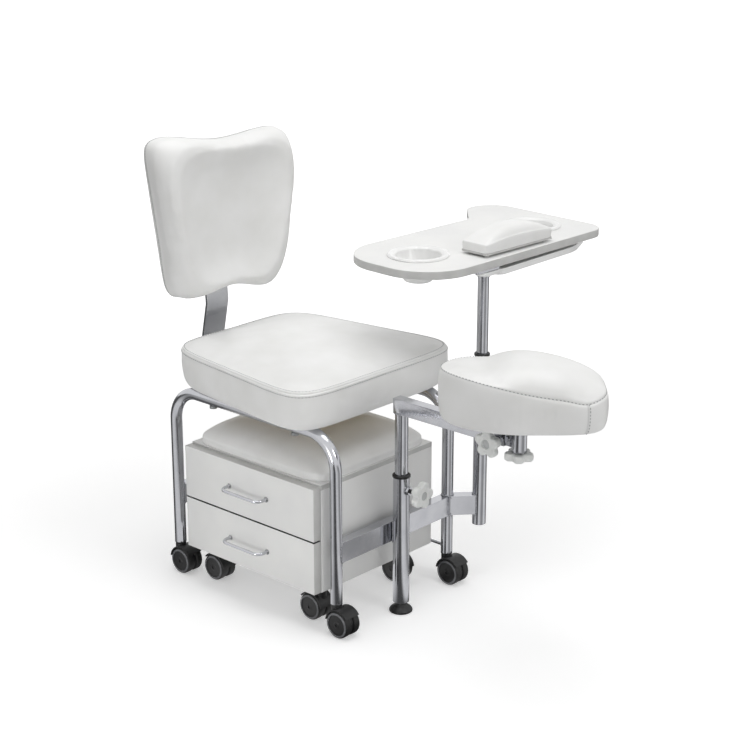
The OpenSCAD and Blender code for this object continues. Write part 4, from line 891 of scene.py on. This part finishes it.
# u and v run along and across the table from its pole; corners are (u, v, radius)
tableTop = {"turn": -2.4, "z": 610, "thick": 16, "edge": 1.6, "cups": {"near": -59, "far": 258}, "middle": 106,
            "cupHole": 44.5, "corners": [(-159, -18, 98), (354, -4, 42), (354, 295, 58), (281, 295, 34),
                                         (216, 230, 26), (-159, 230, 98)]}


def atTable(u, v):
    return turned((u, v), tableTop["turn"], poleAxis)
def circle(x, y, r, count=96):
    return [(x + r * math.cos(g), y + r * math.sin(g)) for g in turns(count)]


def buildTable():
    low, middle = tableTop["z"], tableTop["middle"]
    outline = [atTable(u, v) for u, v in roundedOutline(tableTop["corners"])]
    holes = [circle(*atTable(u, middle), tableTop["cupHole"])[::-1] for u in tableTop["cups"].values()]
    top = plate("tableTopBoard", [outline] + holes, low, low + tableTop["thick"], tableTop["edge"], "melamine",
                "edge")
    mount(top, "table", "laminate", "table_top")


# radii and heights of the cups
cup = {"rim": 57.5, "mouth": 43, "floor": 27, "top": 626, "low": 578, "wall": 2, "rimHeight": 5}


def buildCup(end):
    x, y = atTable(tableTop["cups"][end], tableTop["middle"])
    top, low, rim, mouth, floor, wall, high = pick(cup, "top", "low", "rim", "mouth", "floor", "wall", "rimHeight")
    profile = [(0, low + 1), (floor - 8, low + 1), (floor - 6, low), (floor - 3, low), (floor, low + 2.5),
               (mouth, top - 4), (mouth, top + 0.1), (rim - 0.6, top + 0.1), (rim, top + 1.2),
               (rim - 1.6, top + high - 1.2), (rim - 5, top + high), (mouth + 4, top + high - 1),
               (mouth - 1, top + 1), (mouth - wall, top - 3), (floor - wall, low + 4),
               (floor - 5, low + wall + 0.6), (0, low + wall)]
    name = "cup" + end.capitalize() + "Dish"
    standFor("cup_" + end, lathe(name, filleted(profile, 3.0, 5), (x, y, 0), "dish", around=120, sharp=60))


wrist = {"u": 100, "v": 31, "long": 188, "wide": 64, "corner": 14, "low": 634, "end": 16, "arch": 16,
         "around": 280}


def buildWristRest():
    long, wide, low, end = pick(wrist, "long", "wide", "low", "end")

    def spot(t, row):
        x, y = superPoint(t, long / 2 + row[1], wide / 2 + row[1], wrist["corner"])
        x, y = x * row[0], y * row[0]
        z = low + row[2] * end + row[3] * wrist["arch"] * (1 - (2 * x / long) ** 2)
        return atTable(wrist["u"] + x, wrist["v"] + y) + (z,)

    # shrink, growth of the outline, share of the ends' height, share of the arch, freedom to swell
    rows = [(1, -6, 0.02, 0, 0), (1, -2.4, 0, 0, 0), (1, -1, 0.05, 0, 0), (1, -0.4, 0.2, 0, 0.2),
            (1, 0, 0.5, 0.1, 0.8), (1, -0.2, 0.85, 0.3, 0.2), (1, -0.9, 0.99, 0.4, 0),
            (1, -1.6, 1.02, 0.42, 0), (0.98, -1.8, 1.04, 0.46, 0.1), (0.93, -1.8, 1.1, 0.58, 0.5),
            (0.84, -1.8, 1.2, 0.75, 0.8), (0.68, -1.8, 1.33, 0.9, 1), (0.45, -1.8, 1.41, 0.98, 1),
            (0.2, -1.8, 1.45, 1, 1)]
    middle = atTable(wrist["u"], wrist["v"])
    pad = cushionPiece("wristCushionPad", between(rows, 2, creases=(7,)), spot, middle + (low,),
                       middle + (low + 1.46 * end + wrist["arch"],), wrist["around"], cap=1.2, keep=0.35)
    mount(pad, "table", "upholstery", "wrist_rest_cushion")


buildTable()
buildCup("near")
buildCup("far")
buildWristRest()
print("table, cups and wrist rest ready")


# x0 to z1 are the cabinet's sides; the drawer fronts stand before x0
cart = {"x0": -167, "x1": 130, "y0": -184.5, "y1": 145.5, "z0": 76, "z1": 280, "panel": 16, "top": 9,
        "back": 8, "gap": 0.2,
        "frontX": -185.4, "frontThick": 18, "lowerZ": (77, 175.75), "upperZ": (178.25, 277)}


def buildCart():
    x0, x1, y0, y1, z0, z1 = pick(cart, "x0", "x1", "y0", "y1", "z0", "z1")
    t, top, back, gap = pick(cart, "panel", "top", "back", "gap")
    near, far = y0 + t, y1 - t
    standFor("cart_case", boards("cartCase", [
        ((x0, y0, z0), (x1, near, z1 - top)), ((x0, far, z0), (x1, y1, z1 - top)),
        ((x0 + gap, near, z0), (x1 - back, far, z0 + t)), ((x1 - back, near, z0), (x1 - gap, far, z1 - top))],
        "melamine", "edge", 0.7))
    standFor("cart_top", boards("cartTopPanel", [((x0, y0, z1 - top), (x1, y1, z1))], "melamine", "edge", 0.7))
    for level, side in (("lower", 1), ("upper", -1)):
        low, high = cart[level + "Z"]
        x = cart["frontX"]
        corners = (x, y0, low), (x + cart["frontThick"], y1, high)
        front = boards(level + "DrawerFront", [corners], "melamine", "edge", 1.0)
        front.data.materials.append(mats["nylon"])  # painted shadow of the gap between the drawers: the faces at the gap take black nylon
        for face in front.data.polygons:
            if face.normal.z * side > 0.5:
                face.material_index = 2
        standFor("drawer_front_" + level, front)


cartPad = {"middle": (-18.5, -19.5), "halfX": 148.5, "halfY": 165, "corner": 9, "z": 280, "high": 56,
           "around": 320}


def buildCartCushion():
    mid, base = cartPad["middle"], cartPad["z"]

    def spot(t, row):
        x, y = superPoint(t, cartPad["halfX"] + row[1], cartPad["halfY"] + row[1], cartPad["corner"])
        return (mid[0] + x * row[0], mid[1] + y * row[0], base + row[2])

    # shrink, growth of the outline, height, freedom to swell
    rows = [(1, -8, 0.6, 0), (1, -4, 0.15, 0), (1, -2, 0.8, 0), (1, -1, 3, 0.2), (1, -0.6, 7, 0.6),
            (1, -0.8, 11, 0.8), (0.995, -1, 13.2, 0.9), (0.975, -1, 16, 1), (0.94, -1, 20, 1),
            (0.885, -1, 25.5, 1), (0.81, -1, 32, 1), (0.7, -1, 39, 1), (0.54, -1, 47, 1), (0.34, -1, 53, 1),
            (0.15, -1, 55.6, 1), (0.05, -1, 56, 1)]
    pad = cushionPiece("cartCushionPad", between(rows, 2), spot, mid + (base + 0.6,),
                       mid + (base + cartPad["high"],), cartPad["around"], cap=2.5)
    mount(pad, "cart", "upholstery", "cart_cushion")


buildCart()
buildCartCushion()
print("cart ready")


# tubes, boxes and plates keep the frame's own shapes; the number is the easing of their edges in mm
easedParts = {
    "side_frame_near": 0, "side_frame_far": 0, "front_crossbar": 0.8, "rear_crossbar": 0.8, "far_stretcher": 0,
    "table_socket": 0.4, "footrest_socket": 0.4, "caster_sleeves": 0.5, "seat_board": 0.5, "seat_bolts": 0.6,
    "back_strut": 0.7, "back_screws": 0.5, "footrest_post": 0.9, "footrest_slider": 0.7, "footrest_spindle": 0.5,
    "table_pole": 0.4, "wrist_rest_board": 0.6, "accessory_tray": 1.1, "cart_caster_plates": 0.5,
    "drawer_runners": 0.8, "drawer_box_upper": 0.8, "drawer_box_lower": 0.8,
}


def camel(node):
    first, *others = node.split("_")
    return first + "".join(word.capitalize() for word in others)


def easeNode(node, edge):
    # a copy of a CAD node with its edges eased, which then stands for it
    name, crease = camel(node) + "Eased", math.radians(32)
    mesh = nodes[node].data.copy()
    mesh.name = name
    work = bmesh.new()
    work.from_mesh(mesh)
    bmesh.ops.remove_doubles(work, verts=work.verts, dist=2e-6)
    bmesh.ops.dissolve_limit(work, angle_limit=math.radians(0.6), verts=work.verts, edges=work.edges)
    work.to_mesh(mesh)
    work.free()
    mesh.materials.clear()
    for face in mesh.polygons:
        face.material_index = 0
    finish = "edge" if node == "wrist_rest_board" else slotFinish[slotOf[node]]
    piece = addPiece(name, mesh, [finish], math.degrees(crease))
    if edge:
        ease = piece.modifiers.new("easedEdges", "BEVEL")
        ease.width = edge / 1000
        ease.segments = 2
        ease.limit_method = "ANGLE"
        ease.angle_limit = crease
        ease.harden_normals = False
        applyAll(piece)
    standFor(node, piece)


for node, edge in easedParts.items():
    easeNode(node, edge)
print("tubes, boards and plates eased")

handle = {"pitch": 96, "bar": 3.0, "out": 26, "bend": 14, "y": -19.5, "foot": 5.2, "screw": 2}


def buildHandle(level):
    z, x = sum(cart[level + "Z"]) / 2, cart["frontX"]
    bar, reach, r = handle["bar"], x - handle["out"] + handle["bar"], handle["foot"]
    y0, y1 = handle["y"] - handle["pitch"] / 2, handle["y"] + handle["pitch"] / 2
    path = rodPath([(x + 0.2, y0, z), (reach, y0, z), (reach, y1, z), (x + 0.2, y1, z)], handle["bend"])
    foot = filleted([(0, 0), (r, 0), (r, -1.6), (bar + 0.6, -2.8), (bar, -3.4), (0, -3.4)], 0.8)
    screw = [(0, 10), (handle["screw"], 10), (handle["screw"], -1), (0, -1)]
    parts = [rod(level + "Bow", path, bar, "chrome")]
    for y in (y0, y1):
        parts.append(lathe(level + "Foot", foot, (x, y, z), "nickel", axis="X", around=48))
        parts.append(lathe(level + "Screw", screw, (x, y, z), "zinc", axis="X", around=24))
    standFor("drawer_handle_" + level, joined(level + "DrawerHandle", parts))
buildHandle("lower")
buildHandle("upper")

knob = {"across": 50, "thick": 14, "lobes": 5, "hollow": 7, "power": 1.8, "cap": 8.2, "screw": 4, "pitch": 1.5,
        "around": 200}
# node: screw's tip, the knob's own x, y and outward directions, distance from the tip to the grip
toFront = ((1, 0, 0), (0, 0, 1), (0, -1, 0))
toNear = ((0, 0, 1), (0, 1, 0), (-1, 0, 0))
toFloor = ((1, 0, 0), (0, -1, 0), (0, 0, -1))
knobs = {
    "height_knob": ((postAxis[0], -242.6, 240), toFront, 28.9),
    "reach_knob": ((-15.2, -453.5, 392), toNear, 19.8),
    "table_knob": ((poleAxis[0], -257.6, 415), toFront, 20.4),
    "pivot_knob": (padAxis + (396,), toFloor, 18.6),
}
def buildKnob(node, tip, axes, grip):
    ex, ey, ez = (Vector(a) for a in axes)
    around, thick, cap, screw, pitch = pick(knob, "around", "thick", "cap", "screw", "pitch")

    def spot(r, g, h):
        return tuple(Vector(tip) + ex * r * math.cos(g) + ey * r * math.sin(g) + ez * h)

    def turnedRings(profile, count):
        # r may be a number, or a way to get one from the angle
        return [[spot(r(g) if callable(r) else r, g, h) for g in turns(count)] for r, h in profile]

    def lobed(inset):
        return lambda g: (knob["across"] / 2 - inset
                          - knob["hollow"] * ((1 - math.cos(knob["lobes"] * g)) / 2) ** knob["power"])

    # inset from the lobed edge, height
    edge = [(9, 0.6), (6, 0.1), (4.2, 0), (2.2, 0.35), (0.9, 1.3), (0.15, 3), (0, 5), (0, 9), (0.15, 11),
            (0.9, 12.7), (2.2, 13.65), (4.2, 14), (7, 13.9)]
    rim = [(cap + 2.6, 0.1), (cap + 1.7, 0.9), (cap + 0.7, 0.9), (cap, 0), (cap - 0.2, -2.4)]
    profile = [(lobed(inset), grip + h) for inset, h in between(edge, 2)]
    profile += [(r, grip + thick + h) for r, h in rim]
    parts = [loft(node + "Grip", turnedRings(profile, around), "knob", spot(0, 0, grip + 0.6),
                  spot(0, 0, grip + thick - 2.4))]
    face = grip + thick
    plug = filleted([(cap - 0.4, -2.6), (cap - 0.5, -1.3), (cap - 1.6, -1.1), (2.5, -0.9)], 0.5)
    parts.append(loft(node + "Plug", turnedRings([(r, face + h) for r, h in plug], 64), "plug",
                      spot(0, 0, face - 2.6), spot(0, 0, face - 0.9), sharp=50))
    thread = [(screw - 1.2, 0), (screw - 0.1, 0.9)]
    for k in range(int((grip - 0.8) / pitch)):
        h = 1.0 + k * pitch
        thread += [(screw - 0.1, h), (screw - 0.6, h + pitch * 0.5)]
    thread += [(screw, grip - 0.2), (screw, grip + 1)]
    parts.append(loft(node + "Shank", turnedRings(thread, 32), "nylon", spot(0, 0, 0), spot(0, 0, grip + 1),
                      sharp=60))
    standFor(node, joined(camel(node) + "Star", [faceOut(part) for part in parts]))


for node, (tip, axes, grip) in knobs.items():
    buildKnob(node, tip, axes, grip)
print("handles and knobs ready")

levelFoot = {"bell": 21.5, "top": 19, "stem": 5, "stemTop": 42}
bushes = {
    # node: axis, socket's top, radii of collar, sleeve and bore, sleeve's length
    "footrest_bush": (postAxis, 263, 16.5, 13.45, 12.05, 12),
    "table_bush": (poleAxis, 446, 14.5, 11.7, 10.55, 15),
}
def buildLevelFoot():
    bell, top, stem, high = pick(levelFoot, "bell", "top", "stem", "stemTop")
    profile = [(0, 0), (bell - 1.5, 0), (bell, 1.5), (bell, 4), (bell - 2, 7), (bell * 0.66, 11), (bell * 0.52, 14),
               (bell * 0.48, top), (stem, top), (stem, high - 1), (stem - 1, high), (0, high)]
    standFor("levelling_foot", lathe("levellingFootBell", filleted(profile, 1.6), postAxis + (0,), "nylon"))


def buildBush(node):
    axis, top, collar, sleeve, bore, length = bushes[node]
    profile = [(bore, -length), (sleeve - 0.3, -length), (sleeve, 0.8 - length), (sleeve, 0.1), (collar - 0.4, 0.1),
               (collar, 0.6), (collar, 3.8), (collar - 1.2, 5.1), (bore + 0.5, 5.1), (bore, 4.6)]
    standFor(node, lathe(camel(node) + "Collar", profile, axis + (top,), "nylon", around=96, closed=True))


buildLevelFoot()
for node in bushes:
    buildBush(node)

wheel = {"r": 25, "wide": 15.5, "gap": 7, "axle": 3.05, "discR": 19.2, "ringR": 22.8}


def buildWheels(node, x, y):
    # tyre, bevelled grey ring and recessed black disc on each side of the fork
    r, wide, gap, axle, disc, ring = pick(wheel, "r", "wide", "gap", "axle", "discR", "ringR")
    inner, outer = gap / 2, gap / 2 + wide
    shapes = {
        "Tyre": [(axle, inner), (r - 3, inner), (r - 1.2, inner + 0.4), (r, inner + 2), (r, outer - 4),
                 (r - 0.8, outer - 2.2), (ring + 0.3, outer - 1.3), (ring - 0.6, outer - 2.4), (axle, outer - 2.6)],
        "Ring": [(ring + 0.2, outer - 2.4), (ring, outer - 1.0), (ring - 2.6, outer - 0.1), (disc + 0.6, outer),
                 (disc, outer - 0.6), (disc, outer - 2.4)],
        "Disc": [(axle, outer - 2.4), (disc - 0.1, outer - 2.4), (disc - 0.4, outer - 1.6), (disc - 4, outer - 1.3),
                 (6.4, outer - 1.5), (5.6, outer - 0.9), (axle, outer - 0.8)],
    }
    finishOf = {"Tyre": "tyre", "Ring": "hub", "Disc": "nylon"}
    parts = []
    for side in (-1, 1):
        for name, profile in shapes.items():
            shape = [(a, side * b) for a, b in filleted(profile, 0.5, 3)]
            parts.append(lathe(node + name, shape, (x, y, r), finishOf[name], axis="X", around=96, closed=True))
    standFor(node, joined(camel(node) + "Twin", parts))


# the wheels' places: half the span and the middle across, then near the front and near the back
for kind, half, middle, front, back in (("caster", legAt[0], 0, -221.5, 189.5),
                                        ("cart", 110.5, -18.5, -133.5, 120.5)):
    for corner, x, y in (("near_front", -half, front), ("near_back", -half, back), ("far_front", half, front),
                         ("far_back", half, back)):
        buildWheels(kind + "_wheels_" + corner, middle + x, y)
        easeNode(kind + "_fork_" + corner, 0.8)
print("casters, bushes and levelling foot ready")


# the flat bars' section and height, and the radii of their tubes and of the nuts, up to the bead's middle
flatBar = {"z": 155, "wide": 20, "high": 38}
weld = {"out": 1.2, "leg": 11.2, "socket": 15.2, "tableSocket": 13.2, "nut": 7.9}


def ringPoints(centre, axis, r, count):
    # points of a circle about an axis
    a = Vector(axis).orthogonal().normalized()
    b = Vector(axis).cross(a)
    return [toRow(Vector(centre) + r * (a * math.cos(g) + b * math.sin(g))) for g in turns(count)]


def tubeSeam(axis, r, along):
    # the line where the flat bar meets an upright round tube, which it runs along to or from
    out = []
    for g in turns(96):
        a, b = superPoint(g, flatBar["wide"] / 2 + weld["out"], flatBar["high"] / 2 + weld["out"], 8)
        a = max(-r, min(r, a))
        reach = math.sqrt(max(0.0, r * r - a * a))
        dx, dy = along
        out.append(toRow((axis[0] + dx * reach - dy * a, axis[1] + dy * reach + dx * a, flatBar["z"] + b)))
    return out


def buildWelds():
    legX, legY = legAt
    leg, socket, pole, nut = pick(weld, "leg", "socket", "tableSocket", "nut")
    seams = [tubeSeam((side * legX, y), leg, (-side, 0)) for y in (-legY, legY) for side in (-1, 1)]
    seams.append(tubeSeam(postAxis, socket, (0, 1)))
    away = (Vector(poleAxis) - Vector((legX, -legY))).normalized()
    seams.append(tubeSeam((legX, -legY), leg, tuple(away)))
    seams.append(tubeSeam(poleAxis, pole, tuple(-away)))
    for end in (-1, 1):
        seams.append(ringPoints((legX, end * (legY - leg), 70), (0, 1, 0), 3.6, 40))
    for (x, y), z, back in ((postAxis, 240, 14.1), (poleAxis, 415, 12.4)):
        seams.append(ringPoints((x, y - back, z), (0, 1, 0), nut, 60))
    x, y = postAxis
    post = [ringPoints((x, y, 383.2), (0, 0, 1), 12.6, 72),
            ringPoints((-17.2, -453.5, 392), (1, 0, 0), nut, 60)]
    sleeve = [toRow((x + a, -479.2, 397 + b)) for a, b in (superPoint(g, 8.6, 12.6, 8) for g in turns(64))]
    collar = [ringPoints(poleAxis + (605.6,), (0, 0, 1), 11.2, 60)]
    for name, paths, length, width, seed, body in (
            ("frame", seams, 2.6, 2.4, 11, "chair"), ("post", post, 2.6, 2.2, 12, "footrest_post"),
            ("sleeve", [sleeve], 2.4, 2.0, 13, "footrest_slider"), ("pole", collar, 2.4, 2.0, 14, "table")):
        beadsMade = beadRow(name + "Welds", paths, (1.5, length, width), "weld", unevenness=0.25, seed=seed)
        mount(beadsMade, body, "chrome")


buildWelds()
print("weld beads ready")
